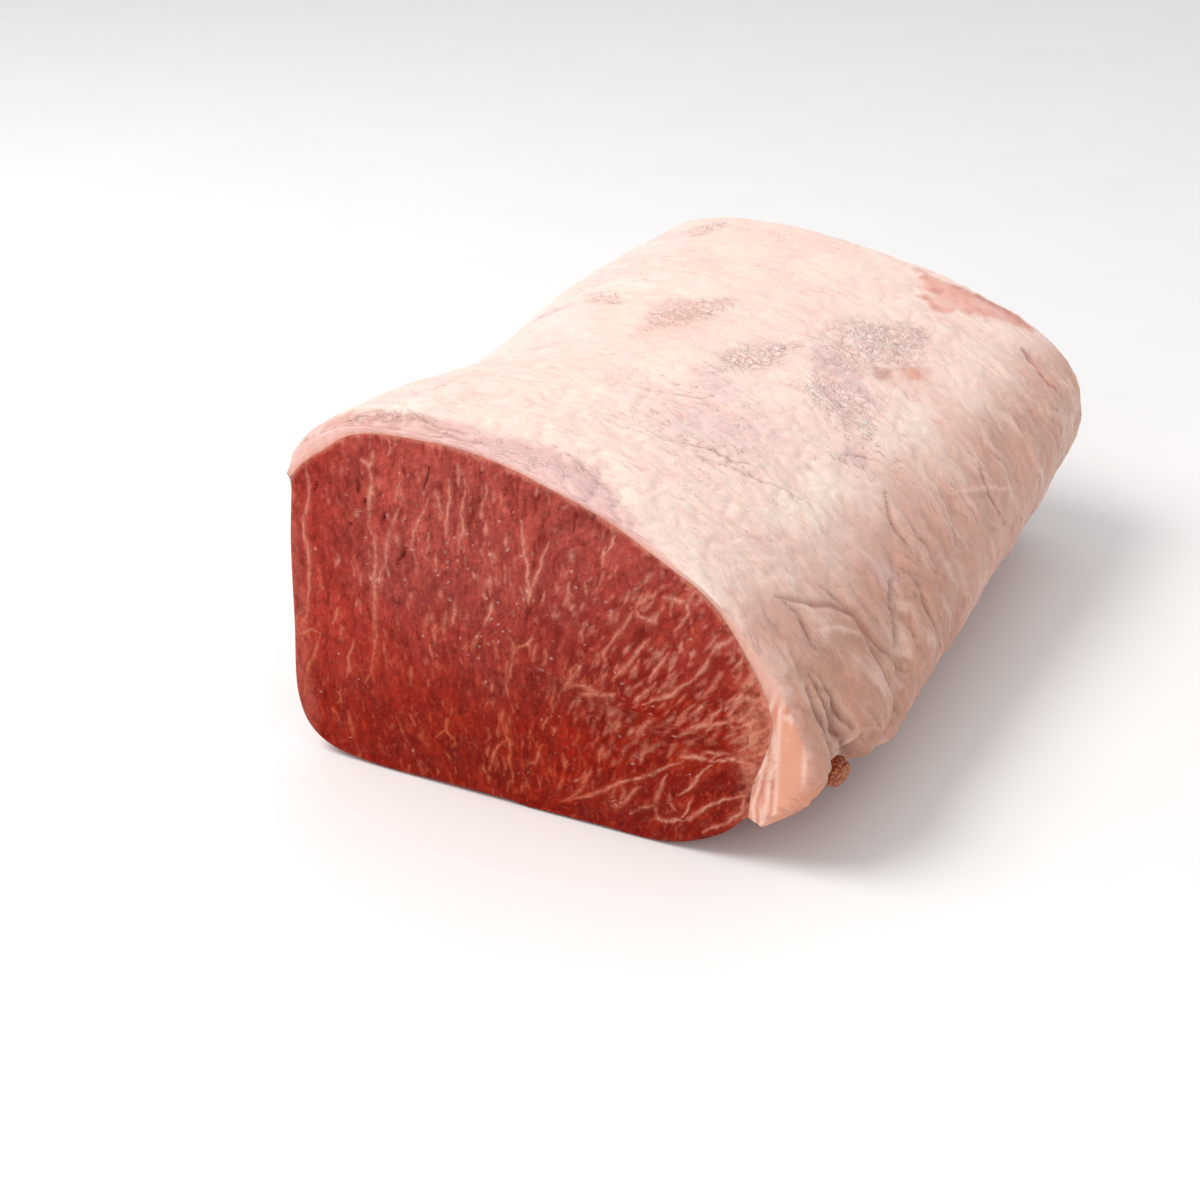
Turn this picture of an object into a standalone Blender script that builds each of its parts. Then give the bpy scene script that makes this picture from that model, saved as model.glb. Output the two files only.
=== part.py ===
"""Raw boneless pork loin, cut straight across at both ends.

The eye of loin carries a fat cap over its top and right side. A small side muscle lies along the lower
right edge, under a seam of connective tissue, and a gland sits in a notch of the fat's lower edge.

Sections are laid out in millimetres: w runs right from the left side, l runs back from the front cut and
z runs up from the surface that the loin lies on. to_world turns them into metres about the base's centre.
"""

import bmesh
import bpy
import numpy as np
from mathutils import noise

MM = 0.001
LENGTH = 164.0
BASE_CENTRE_W, BASE_CENTRE_L = 52.5, 82.5
TOUCHING_GAP = 0.3

# The fat cap's outer and inner lines, from its edge on the left side, over the top, to its lower edge at
# the right: anchor, outer (w, z) at the front, inner at the front, outer at the back, inner at the back
FAT_LINES = (
    ("left_edge", (0.7, 57.2), (1.6, 56.4), (-2.9, 51.1), (-2.0, 50.5)),
    ("left_side", (2.2, 62.3), (4.5, 59.8), (-2.9, 58.3), (-1.0, 57.3)),
    ("left_corner", (6.8, 67.3), (9.1, 63.2), (1.4, 64.1), (3.2, 61.3)),
    ("left_top", (15.8, 70.9), (16.3, 67.5), (11.5, 67.3), (12.2, 64.5)),
    ("crown", (28.8, 71.6), (28.8, 68.8), (25.9, 68.0), (25.9, 65.3)),
    ("inner_dome", (43.2, 70.1), (42.7, 67.5), (43.2, 66.2), (42.8, 63.6)),
    ("dome", (57.6, 65.7), (56.8, 63.4), (59.0, 63.0), (58.5, 60.6)),
    ("outer_dome", (72.0, 59.4), (70.8, 57.1), (73.4, 59.4), (72.6, 56.9)),
    ("shoulder", (84.2, 51.1), (82.7, 49.4), (85.7, 54.7), (84.2, 52.0)),
    ("outer_shoulder", (93.7, 41.4), (90.4, 39.0), (95.8, 49.0), (93.3, 45.9)),
    ("flank", (100.8, 31.0), (94.5, 29.5), (103.3, 41.0), (99.4, 39.0)),
    ("low_flank", (104.8, 21.2), (93.2, 21.7), (105.1, 31.0), (99.1, 30.0)),
    ("curl", (102.2, 13.3), (91.6, 16.6), (100.8, 20.2), (95.3, 22.2)),
    ("lower_edge", (94.0, 7.6), (91.0, 9.7), (92.9, 10.8), (89.9, 13.2)),
)

# How far each anchor drops at the saddle, stands out at the belly and rolls in at the cut ends, and how
# far it rises in the notch on the outer line and on the inner line
FAT_SHAPING = (
    (4.3, 0.0, 0.3, 0.0, 0.0),
    (5.4, 0.0, 1.0, 0.0, 0.0),
    (5.8, 0.0, 1.9, 0.0, 0.0),
    (5.0, 0.0, 1.9, 0.0, 0.0),
    (3.6, 0.0, 1.7, 0.0, 0.0),
    (2.2, 0.0, 1.6, 0.0, 0.0),
    (0.7, 0.0, 1.4, 0.0, 0.0),
    (0.0, 0.0, 1.4, 0.0, 0.0),
    (0.0, 0.4, 1.4, 0.0, 0.0),
    (0.0, 1.1, 1.9, 0.0, 0.0),
    (0.0, 2.2, 2.9, 0.7, 0.0),
    (0.0, 3.2, 3.6, 4.3, 0.0),
    (0.0, 4.0, 3.3, 10.1, 2.9),
    (0.0, 4.0, 1.1, 13.0, 7.2),
)
SEAM_ANCHOR = 11

# The bare line of the eye from its foot at the seam, along the bottom and up the left side:
# (w, z) at the front, (w, z) at the back
EYE_BARE_LINE = (
    ("seam_foot", (47.5, 0.0), (57.6, 0.0)),
    ("bottom", (32.4, 0.0), (34.6, 0.0)),
    ("left_foot", (14.4, 0.0), (14.4, 0.0)),
    ("left_corner", (3.3, 2.6), (3.6, 2.6)),
    ("left_low", (-1.2, 10.8), (-1.2, 10.1)),
    ("left_middle", (-0.6, 27.4), (-2.6, 25.9)),
    ("left_high", (0.1, 43.2), (-3.2, 38.9)),
)

# The bare line of the side muscle from the fat's lower edge to the seam's foot, and how far it stands out
SIDE_BARE_LINE = (
    ("right_corner", (85.3, 4.0), (82.1, 4.3), 2.9),
    ("right_foot", (75.6, 0.0), (72.7, 0.0), 2.2),
    ("bottom", (61.9, 0.0), (65.5, 0.0), 0.0),
)

# The seam between them, from the fat's inner line down to its foot
SEAM_FRONT = ((82.8, 20.4), (72.7, 17.7), (63.4, 12.5), (54.7, 5.9))
SEAM_BACK = ((86.4, 18.7), (77.8, 14.4), (70.6, 9.7), (64.1, 4.3))

SADDLE_AT, SADDLE_HALF = 59.0, 30.0
SADDLE_INSET = 1.1
BELLY_START, BELLY_END, BELLY_FADE = 19.0, 122.0, 0.5
FACE_YAW, FACE_YAW_WIDTH = 4.3, 97.0
FACE_BULGE, SIDE_FACE_BULGE = 1.7, 0.9
ROLL_LENGTH = 6.5
ROLL_LIMIT = 0.66
THIN_EDGE, THIN_FROM, THIN_BLEND, THIN_SHARE = 0.42, 13.0, 11.5, 0.80
NOTCH_AT, NOTCH_BEFORE, NOTCH_BEHIND, NOTCH_FILL = 11.5, 5.0, 9.0, 3.6
SCALLOP_DEPTH, SCALLOP_PITCH = 0.7, 27.3

# Folds pressed into the fat: start (l, share of the fat line), end, depth, half width
FAT_LINE_LENGTH = 180.0
FOLDS = (
    ((17.3, 0.9), (53.3, 0.7), 1.3, 3.2),
    ((11.5, 0.85), (30.2, 0.94), 1.2, 2.5),
    ((50.4, 0.93), (80.6, 0.74), 0.9, 4.3),
    ((86.4, 0.92), (121.0, 0.7), 1.0, 5.0),
    ((108.0, 0.54), (136.8, 0.62), 0.6, 6.5),
    ((142.6, 0.66), (154.1, 0.76), 1.1, 2.5),
    ((43.2, 0.3), (69.1, 0.46), 0.6, 7.2),
)
FOLD_LIMIT = 0.45

GLAND_CENTRE = (100.9, 14.8, 14.1)
GLAND_RADII = (2.6, 3.3, 2.6)
GLAND_LUMPS = 0.45

FAT_POINTS = 38
SEAM_INDEX = 31
EYE_BARE_POINTS = 20
SIDE_BARE_POINTS = 9
SEAM_POINTS = 9
SPAN_STEPS = 12
STATION_STEP = 5.0
CAP_RINGS = 3

MATERIALS = {
    "fat_cap": ((0.86, 0.66, 0.58, 1.0), 0.42),
    "eye_of_loin": ((0.45, 0.075, 0.055, 1.0), 0.32),
    "side_muscle": ((0.36, 0.045, 0.035, 1.0), 0.32),
    "gland": ((0.30, 0.11, 0.05, 1.0), 0.45),
}


def clear_scene():
    for obj in list(bpy.data.objects):
        bpy.data.objects.remove(obj)


def ease(value):
    """A smooth step from 0 to 1."""
    value = np.clip(value, 0.0, 1.0)
    return value * value * (3.0 - 2.0 * value)


def hump(value, middle, half):
    return np.exp(-(((value - middle) / half) ** 2))


def blend(front, back, l):
    share = ease(l / LENGTH)
    return (1.0 - share) * np.array(front) + share * np.array(back)


def resampled(points, count):
    """count points, evenly spaced along a line of straight pieces."""
    steps = np.linalg.norm(np.diff(points, axis=0), axis=1)
    along = np.concatenate([[0.0], np.cumsum(steps)])
    wanted = np.linspace(0.0, along[-1], count)
    return np.stack([np.interp(wanted, along, points[:, axis]) for axis in (0, 1)], axis=1)


def through(points, count, split=None):
    """count points, evenly spaced along a smooth open curve through the given ones.

    split gives the index of one of them and the index that it lands on.
    """
    points = np.array(points, float)
    padded = np.vstack([2 * points[0] - points[1], points, 2 * points[-1] - points[-2]])
    t = np.linspace(0.0, 1.0, SPAN_STEPS, endpoint=False)[:, None]
    spans = []
    for a, b, c, d in zip(padded, padded[1:], padded[2:], padded[3:]):
        bend = a - 2.5 * b + 2.0 * c - 0.5 * d
        twist = 0.5 * (3.0 * (b - c) + d - a)
        spans.append(b + 0.5 * t * (c - a) + t**2 * bend + t**3 * twist)
    line = np.vstack([*spans, points[-1]])
    if split is None:
        return resampled(line, count)
    given, lands = split[0] * SPAN_STEPS, split[1]
    return np.vstack([resampled(line[: given + 1], lands + 1)[:-1], resampled(line[given:], count - lands)])


def shaping(column, count):
    """A column of FAT_SHAPING, spread along the fat line."""
    anchors = np.array([row[1] for row in FAT_LINES])
    along = np.concatenate([[0.0], np.cumsum(np.linalg.norm(np.diff(anchors, axis=0), axis=1))])
    return np.interp(np.linspace(0.0, along[-1], count), along, [row[column] for row in FAT_SHAPING])


def inward(line):
    """Unit vectors square to a line that runs left to right over the meat, pointing into it."""
    along = np.gradient(line, axis=0)
    along /= np.linalg.norm(along, axis=1)[:, None]
    return np.stack([along[:, 1], -along[:, 0]], axis=1)


def belly(l):
    """How far the right side stands out at l, from 0 at the front cut to 1."""
    return ease(l / BELLY_START) - BELLY_FADE * ease((l - BELLY_END) / (LENGTH - BELLY_END))


def notch(l):
    return hump(l, NOTCH_AT, NOTCH_BEFORE if l < NOTCH_AT else NOTCH_BEHIND)


def fat_anchors(l, columns, notch_column):
    """The anchors of one fat line at l. columns picks its front and back columns of FAT_LINES."""
    anchors = blend(*([row[i] for row in FAT_LINES] for i in columns), l)
    anchors[:, 1] -= np.array([row[0] for row in FAT_SHAPING]) * hump(l, SADDLE_AT, SADDLE_HALF)
    anchors[:, 0] += np.array([row[1] for row in FAT_SHAPING]) * belly(l)
    anchors[:, 1] += np.array([row[notch_column] for row in FAT_SHAPING]) * notch(l)
    return anchors


def fold_depth(l, share):
    """How deep the folds press into the fat at l and each share of the fat line."""
    points = np.stack([np.full_like(share, l), share * FAT_LINE_LENGTH], axis=1)
    depth = np.zeros_like(share)
    for start, end, deep, half in FOLDS:
        a, b = (np.array([at[0], at[1] * FAT_LINE_LENGTH]) for at in (start, end))
        along = np.clip((points - a) @ (b - a) / ((b - a) @ (b - a)), 0.0, 1.0)
        away = np.linalg.norm(points - a - along[:, None] * (b - a), axis=1)
        depth += deep * np.sin(np.pi * (0.12 + 0.76 * along)) * hump(away, 0.0, half)
    return depth


def roll(l):
    """How far the edge of a cut end is rolled in at l, from 1 at the cut to 0."""
    edge = np.clip(1.0 - min(l, LENGTH - l) / ROLL_LENGTH, 0.0, 1.0)
    return 1.0 - np.sqrt(1.0 - edge * edge)


def fat_lines(l):
    """The fat's outer and inner lines at l."""
    split = (SEAM_ANCHOR, SEAM_INDEX)
    outer = through(fat_anchors(l, (1, 3), 3), FAT_POINTS, split)
    inner = through(fat_anchors(l, (2, 4), 4), FAT_POINTS, split)
    share = np.linspace(0.0, 1.0, FAT_POINTS)
    away_from_cut = ease((l - THIN_FROM) / THIN_BLEND) * ease((LENGTH - l) / THIN_BLEND)
    thinning = (1.0 - THIN_EDGE) * away_from_cut * ease((share - THIN_SHARE) / (1.0 - THIN_SHARE))
    inner = inner + (outer - inner) * thinning[:, None]
    thickness = np.linalg.norm(outer - inner, axis=1)
    pressed = np.minimum(fold_depth(l, share), FOLD_LIMIT * thickness)
    rolled = np.minimum(shaping(2, FAT_POINTS) * roll(l), ROLL_LIMIT * thickness)
    outer = outer + inward(outer) * (pressed + rolled)[:, None]
    return outer, inner


def core_lines(l):
    """The core's line under the fat, its bare lines and the seam, all at l."""
    inner = fat_lines(l)[1]
    top = inner + inward(inner) * TOUCHING_GAP
    eye = blend(*([row[i] for row in EYE_BARE_LINE] for i in (1, 2)), l)
    scallop = SCALLOP_DEPTH * 0.5 * (1.0 - np.cos(2.0 * np.pi * l / SCALLOP_PITCH))
    eye[-3:, 0] += scallop + SADDLE_INSET * hump(l, SADDLE_AT, SADDLE_HALF)
    eye[-1, 1] -= 0.5 * FAT_SHAPING[0][0] * hump(l, SADDLE_AT, SADDLE_HALF)
    side = blend(*([row[i] for row in SIDE_BARE_LINE] for i in (1, 2)), l)
    side[:, 0] += np.array([row[3] for row in SIDE_BARE_LINE]) * belly(l)
    side[0] += NOTCH_FILL * notch(l)
    seam = through(np.vstack([top[SEAM_INDEX], blend(SEAM_FRONT, SEAM_BACK, l), eye[0]]), SEAM_POINTS)
    eye = through(np.vstack([eye, top[0]]), EYE_BARE_POINTS)
    side = through(np.vstack([top[-1], side, seam[-1]]), SIDE_BARE_POINTS)
    return top, eye, side, seam


def above_seam(seam):
    """Unit vectors square to the seam, pointing into the eye."""
    return -inward(seam[::-1])[::-1]


def eye_ring(l):
    top, eye, _, seam = core_lines(l)
    shifted = seam + above_seam(seam) * 0.5 * TOUCHING_GAP
    shifted[-1, 1] = 0.0
    shifted[0] = top[SEAM_INDEX] + (top[SEAM_INDEX - 1] - top[SEAM_INDEX]) * 0.08
    return np.vstack([top[:SEAM_INDEX], shifted, eye[1:-1]])


def side_ring(l):
    top, _, side, seam = core_lines(l)
    shifted = seam - above_seam(seam) * 0.5 * TOUCHING_GAP
    shifted[-1] = seam[-1] + (0.65, 0.0)
    shifted[0] = top[SEAM_INDEX] + (top[SEAM_INDEX + 1] - top[SEAM_INDEX]) * 0.08
    return np.vstack([shifted[0], top[SEAM_INDEX + 1 :], side[1:-1], shifted[:0:-1]])


def to_world(l, ring, bulge=0.0):
    """Points in metres. The front cut turns back to the right, and its middle bulges."""
    w, z = ring[:, 0], ring[:, 1]
    yaw = FACE_YAW * np.clip(w / FACE_YAW_WIDTH, 0.0, None) ** 1.5
    y = l - BASE_CENTRE_L + yaw * (1.0 - l / LENGTH) ** 3
    y += bulge * np.sign(l - 0.5 * LENGTH)
    return np.stack([w - BASE_CENTRE_W, y, np.maximum(z, 0.0)], axis=1) * MM


def stations():
    """The l of each section: evenly spaced, and closer where the cut edges roll."""
    close = ROLL_LENGTH * (1.0 - np.cos(np.linspace(0.0, 0.5 * np.pi, 4)))
    count = round((LENGTH - 2.0 * ROLL_LENGTH) / STATION_STEP)
    middle = np.linspace(ROLL_LENGTH, LENGTH - ROLL_LENGTH, count + 1)[1:-1]
    return np.concatenate([close, middle, LENGTH - close[::-1]])


def new_object(name, points, faces, collection):
    mesh = bpy.data.meshes.new(name)
    mesh.from_pydata([tuple(point) for point in points], [], faces)
    body = bmesh.new()
    body.from_mesh(mesh)
    bmesh.ops.recalc_face_normals(body, faces=body.faces)
    body.to_mesh(mesh)
    body.free()
    mesh.shade_smooth()
    mesh.set_sharp_from_angle(angle=np.radians(50.0))
    material = bpy.data.materials.new(name)
    material.use_nodes = True
    shader = material.node_tree.nodes["Principled BSDF"]
    colour, roughness = MATERIALS[name]
    shader.inputs["Base Color"].default_value = colour
    shader.inputs["Roughness"].default_value = roughness
    shader.inputs["Metallic"].default_value = 0.0
    mesh.materials.append(material)
    obj = bpy.data.objects.new(name, mesh)
    collection.objects.link(obj)


def strip(first, second, count, closed):
    """Quads between two rows of count points, whose first indices are given."""
    last = count if closed else count - 1
    return [(first + i, first + (i + 1) % count, second + (i + 1) % count, second + i) for i in range(last)]


def loft(name, ring_at, middle, bulge, collection):
    """A solid through closed rings. Each end is closed by rings that shrink to its middle."""
    middle = np.array(middle)
    rows = [to_world(l, ring_at(l)) for l in stations()]
    count = len(rows[0])
    for end in (0.0, LENGTH):
        rim = ring_at(end)
        caps = []
        for step in range(1, CAP_RINGS + 1):
            share = 1.0 - step / (CAP_RINGS + 0.6)
            caps.append(to_world(end, middle + (rim - middle) * share, bulge * (1.0 - share**2)))
        rows = rows + caps if end else caps[::-1] + rows
    faces = []
    for i in range(len(rows) - 1):
        faces += strip(i * count, (i + 1) * count, count, closed=True)
    points = np.vstack([*rows, *(to_world(end, middle[None], bulge) for end in (0.0, LENGTH))])
    for hub, first in ((len(points) - 2, 0), (len(points) - 1, (len(rows) - 1) * count)):
        faces += [(first + i, first + (i + 1) % count, hub) for i in range(count)]
    new_object(name, points, faces, collection)


def build_fat_cap(collection):
    """A thick shell: an outer and an inner sheet, joined along their four borders."""
    lines = [(l, *fat_lines(l)) for l in stations()]
    outside = [to_world(l, outer) for l, outer, _ in lines]
    inside = [to_world(l, inner) for l, _, inner in lines]
    rows, count = len(lines), FAT_POINTS
    under = rows * count
    faces = []
    for i in range(rows - 1):
        faces += strip(i * count, (i + 1) * count, count, closed=False)
        faces += strip(under + i * count, under + (i + 1) * count, count, closed=False)
    for i in (0, rows - 1):
        faces += strip(i * count, under + i * count, count, closed=False)
    for j in (0, count - 1):
        for i in range(rows - 1):
            a, b = i * count + j, (i + 1) * count + j
            faces.append((a, b, under + b, under + a))
    new_object("fat_cap", np.vstack([*outside, *inside]), faces, collection)


def build_gland(collection):
    """A small lumpy kernel under the notch in the fat's lower edge."""
    body = bmesh.new()
    bmesh.ops.create_icosphere(body, subdivisions=3, radius=1.0)
    w, l, z = GLAND_CENTRE
    centre = to_world(l, np.array([[w, z]]))[0]
    for vert in body.verts:
        lump = GLAND_LUMPS * noise.noise(vert.co * 2.4)
        vert.co = [c + n * (r + lump) * MM for c, n, r in zip(centre, vert.co, GLAND_RADII)]
    points = [vert.co[:] for vert in body.verts]
    faces = [[vert.index for vert in face.verts] for face in body.faces]
    body.free()
    new_object("gland", points, faces, collection)


def main():
    clear_scene()
    loin = bpy.data.collections.new("pork_loin")
    bpy.context.scene.collection.children.link(loin)
    build_fat_cap(loin)
    loft("eye_of_loin", eye_ring, (44.6, 33.1), FACE_BULGE, loin)
    loft("side_muscle", side_ring, (79.2, 10.1), SIDE_FACE_BULGE, loin)
    build_gland(loin)


main()
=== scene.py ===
"""Looks of the raw boneless pork loin: fat, lean, marbling and the small kernel in the notch.

Sections are laid out as in the part's source, in millimetres: w runs right from the left side, l runs back
from the front cut and z runs up from the surface that the loin lies on. to_world turns them into metres.
"""

import itertools

import bmesh
import bpy
import numpy as np
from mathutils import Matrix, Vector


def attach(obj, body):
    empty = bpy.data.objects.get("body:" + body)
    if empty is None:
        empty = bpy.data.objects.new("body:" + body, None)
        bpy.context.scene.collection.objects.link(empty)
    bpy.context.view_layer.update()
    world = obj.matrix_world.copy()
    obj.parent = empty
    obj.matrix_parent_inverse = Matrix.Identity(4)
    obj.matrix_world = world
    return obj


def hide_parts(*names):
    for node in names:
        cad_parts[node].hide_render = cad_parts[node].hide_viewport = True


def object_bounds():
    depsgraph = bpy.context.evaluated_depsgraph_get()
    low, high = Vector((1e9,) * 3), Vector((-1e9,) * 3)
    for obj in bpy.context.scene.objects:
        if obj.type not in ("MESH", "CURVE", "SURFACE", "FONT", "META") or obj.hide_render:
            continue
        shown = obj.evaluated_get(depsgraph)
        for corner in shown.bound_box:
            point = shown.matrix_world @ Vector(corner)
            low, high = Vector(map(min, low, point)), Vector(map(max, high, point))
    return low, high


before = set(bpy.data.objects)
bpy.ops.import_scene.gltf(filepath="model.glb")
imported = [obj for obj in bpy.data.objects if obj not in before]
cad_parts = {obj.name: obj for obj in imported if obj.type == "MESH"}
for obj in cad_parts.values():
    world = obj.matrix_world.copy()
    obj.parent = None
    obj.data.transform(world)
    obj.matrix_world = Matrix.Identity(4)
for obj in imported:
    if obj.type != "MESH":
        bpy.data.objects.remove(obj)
CAD_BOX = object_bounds()

# Shape, as in the part's source

MM = 0.001
LENGTH = 164.0
BASE_CENTRE_W, BASE_CENTRE_L = 52.5, 82.5

# The fat cap's outer and inner lines, from its edge on the left side, over the top, to its lower edge at
# the right: anchor, outer (w, z) at the front, inner at the front, outer at the back, inner at the back
FAT_LINES = (
    ("left_edge", (0.7, 57.2), (1.6, 56.4), (-2.9, 51.1), (-2.0, 50.5)),
    ("left_side", (2.2, 62.3), (4.5, 59.8), (-2.9, 58.3), (-1.0, 57.3)),
    ("left_corner", (6.8, 67.3), (9.1, 63.2), (1.4, 64.1), (3.2, 61.3)),
    ("left_top", (15.8, 70.9), (16.3, 67.5), (11.5, 67.3), (12.2, 64.5)),
    ("crown", (28.8, 71.6), (28.8, 68.8), (25.9, 68.0), (25.9, 65.3)),
    ("inner_dome", (43.2, 70.1), (42.7, 67.5), (43.2, 66.2), (42.8, 63.6)),
    ("dome", (57.6, 65.7), (56.8, 63.4), (59.0, 63.0), (58.5, 60.6)),
    ("outer_dome", (72.0, 59.4), (70.8, 57.1), (73.4, 59.4), (72.6, 56.9)),
    ("shoulder", (84.2, 51.1), (82.7, 49.4), (85.7, 54.7), (84.2, 52.0)),
    ("outer_shoulder", (93.7, 41.4), (90.4, 39.0), (95.8, 49.0), (93.3, 45.9)),
    ("flank", (100.8, 31.0), (94.5, 29.5), (103.3, 41.0), (99.4, 39.0)),
    ("low_flank", (104.8, 21.2), (93.2, 21.7), (105.1, 31.0), (99.1, 30.0)),
    ("curl", (102.2, 13.3), (91.6, 16.6), (100.8, 20.2), (95.3, 22.2)),
    ("lower_edge", (94.0, 7.6), (91.0, 9.7), (92.9, 10.8), (89.9, 13.2)),
)

# How far each anchor drops at the saddle, stands out at the belly and rolls in at the cut ends, and how
# far it rises in the notch on the outer line and on the inner line
FAT_SHAPING = np.array((
    (4.3, 0.0, 0.3, 0.0, 0.0),
    (5.4, 0.0, 1.0, 0.0, 0.0),
    (5.8, 0.0, 1.9, 0.0, 0.0),
    (5.0, 0.0, 1.9, 0.0, 0.0),
    (3.6, 0.0, 1.7, 0.0, 0.0),
    (2.2, 0.0, 1.6, 0.0, 0.0),
    (0.7, 0.0, 1.4, 0.0, 0.0),
    (0.0, 0.0, 1.4, 0.0, 0.0),
    (0.0, 0.4, 1.4, 0.0, 0.0),
    (0.0, 1.1, 1.9, 0.0, 0.0),
    (0.0, 2.2, 2.9, 0.7, 0.0),
    (0.0, 3.2, 3.6, 4.3, 0.0),
    (0.0, 4.0, 3.3, 10.1, 2.9),
    (0.0, 4.0, 1.1, 13.0, 7.2),
))
SEAM_ANCHOR = 11

# The bare line of the eye from its foot at the seam, along the bottom and up the left side:
# (w, z) at the front, (w, z) at the back
EYE_BARE_LINE = (
    ("seam_foot", (47.5, 0.0), (57.6, 0.0)),
    ("bottom", (32.4, 0.0), (34.6, 0.0)),
    ("left_foot", (14.4, 0.0), (14.4, 0.0)),
    ("left_corner", (3.3, 2.6), (3.6, 2.6)),
    ("left_low", (-1.2, 10.8), (-1.2, 10.1)),
    ("left_middle", (-0.6, 27.4), (-2.6, 25.9)),
    ("left_high", (0.1, 43.2), (-3.2, 38.9)),
)

# The bare line of the side muscle from the fat's lower edge to the seam's foot, and how far it stands out
SIDE_BARE_LINE = (
    ("right_corner", (85.3, 4.0), (82.1, 4.3), 2.9),
    ("right_foot", (75.6, 0.0), (72.7, 0.0), 2.2),
    ("bottom", (61.9, 0.0), (65.5, 0.0), 0.0),
)

# The seam between them, from the fat's inner line down to its foot
SEAM_FRONT = ((82.8, 20.4), (72.7, 17.7), (63.4, 12.5), (54.7, 5.9))
SEAM_BACK = ((86.4, 18.7), (77.8, 14.4), (70.6, 9.7), (64.1, 4.3))

SADDLE_AT, SADDLE_HALF = 59.0, 30.0
SADDLE_INSET = 1.1
BELLY_START, BELLY_END, BELLY_FADE = 19.0, 122.0, 0.5
FACE_YAW, FACE_YAW_WIDTH = 4.3, 97.0
FACE_BULGE, SIDE_FACE_BULGE = 1.7, 0.9
ROLL_LENGTH = 6.5
ROLL_LIMIT = 0.66
THIN_EDGE, THIN_FROM, THIN_BLEND, THIN_SHARE = 0.42, 13.0, 11.5, 0.80
NOTCH_AT, NOTCH_BEFORE, NOTCH_BEHIND, NOTCH_FILL = 11.5, 5.0, 9.0, 3.6
SCALLOP_DEPTH, SCALLOP_PITCH = 0.7, 27.3

# Folds pressed into the fat: start (l, share of the fat line), end, depth, half width
FAT_LINE_LENGTH = 180.0
FOLDS = (
    ((17.3, 0.9), (53.3, 0.7), 1.3, 3.2),
    ((11.5, 0.85), (30.2, 0.94), 1.2, 2.5),
    ((50.4, 0.93), (80.6, 0.74), 0.9, 4.3),
    ((86.4, 0.92), (121.0, 0.7), 1.0, 5.0),
    ((108.0, 0.54), (136.8, 0.62), 0.6, 6.5),
    ((142.6, 0.66), (154.1, 0.76), 1.1, 2.5),
    ((43.2, 0.3), (69.1, 0.46), 0.6, 7.2),
)
FOLD_LIMIT = 0.45

GLAND_CENTRE = (100.9, 14.8, 14.1)
GLAND_RADII = (2.6, 3.3, 2.6)

# Fineness of the meshes. The fat's inner sheet and the cores take every CORE_STRIDEth point
CORE_STRIDE = 8
FAT_POINTS = 37 * CORE_STRIDE + 1
SEAM_INDEX = 31 * CORE_STRIDE
FAT_STATIONS = 250
FAT_EDGE_POINTS = 9
FRONT_CUT_ROWS = 21
EYE_BARE_POINTS = 151
SIDE_BARE_POINTS = 60
SEAM_POINTS = 24
SPAN_STEPS = 24


def ease(value):
    """A smooth step from 0 to 1."""
    value = np.clip(value, 0.0, 1.0)
    return value * value * (3.0 - 2.0 * value)


def hump(value, middle, half):
    return np.exp(-(((value - middle) / half) ** 2))


def blend(front, back, l):
    share = ease(l / LENGTH)
    return (1.0 - share) * np.array(front) + share * np.array(back)


def resampled(points, count):
    """count points, evenly spaced along a line of straight pieces."""
    steps = np.linalg.norm(np.diff(points, axis=0), axis=1)
    along = np.concatenate([[0.0], np.cumsum(steps)])
    wanted = np.linspace(0.0, along[-1], count)
    return np.stack([np.interp(wanted, along, points[:, axis]) for axis in (0, 1)], axis=1)


def through(points, count, split=None):
    """count points, evenly spaced along a smooth open curve through the given ones.

    split gives the index of one of them and the index that it lands on.
    """
    points = np.array(points, float)
    padded = np.vstack([2 * points[0] - points[1], points, 2 * points[-1] - points[-2]])
    t = np.linspace(0.0, 1.0, SPAN_STEPS, endpoint=False)[:, None]
    spans = []
    for a, b, c, d in zip(padded, padded[1:], padded[2:], padded[3:]):
        bend = a - 2.5 * b + 2.0 * c - 0.5 * d
        twist = 0.5 * (3.0 * (b - c) + d - a)
        spans.append(b + 0.5 * t * (c - a) + t**2 * bend + t**3 * twist)
    line = np.vstack([*spans, points[-1]])
    if split is None:
        return resampled(line, count)
    given, lands = split[0] * SPAN_STEPS, split[1]
    return np.vstack([resampled(line[: given + 1], lands + 1)[:-1], resampled(line[given:], count - lands)])


def shaping(column, count):
    """A column of FAT_SHAPING, spread along the fat line."""
    anchors = np.array([row[1] for row in FAT_LINES])
    along = np.concatenate([[0.0], np.cumsum(np.linalg.norm(np.diff(anchors, axis=0), axis=1))])
    return np.interp(np.linspace(0.0, along[-1], count), along, FAT_SHAPING[:, column])


def inward(line):
    """Unit vectors square to a line that runs left to right over the meat, pointing into it."""
    along = np.gradient(line, axis=0)
    along /= np.linalg.norm(along, axis=1)[:, None]
    return np.stack([along[:, 1], -along[:, 0]], axis=1)


def belly(l):
    """How far the right side stands out at l, from 0 at the front cut to 1."""
    return ease(l / BELLY_START) - BELLY_FADE * ease((l - BELLY_END) / (LENGTH - BELLY_END))


def notch(l):
    return hump(l, NOTCH_AT, NOTCH_BEFORE if l < NOTCH_AT else NOTCH_BEHIND)


def fat_anchors(l, columns, notch_column):
    """The anchors of one fat line at l. columns picks its front and back columns of FAT_LINES."""
    anchors = blend(*([row[i] for row in FAT_LINES] for i in columns), l)
    anchors[:, 1] -= FAT_SHAPING[:, 0] * hump(l, SADDLE_AT, SADDLE_HALF)
    anchors[:, 0] += FAT_SHAPING[:, 1] * belly(l)
    anchors[:, 1] += FAT_SHAPING[:, notch_column] * notch(l)
    return anchors


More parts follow.
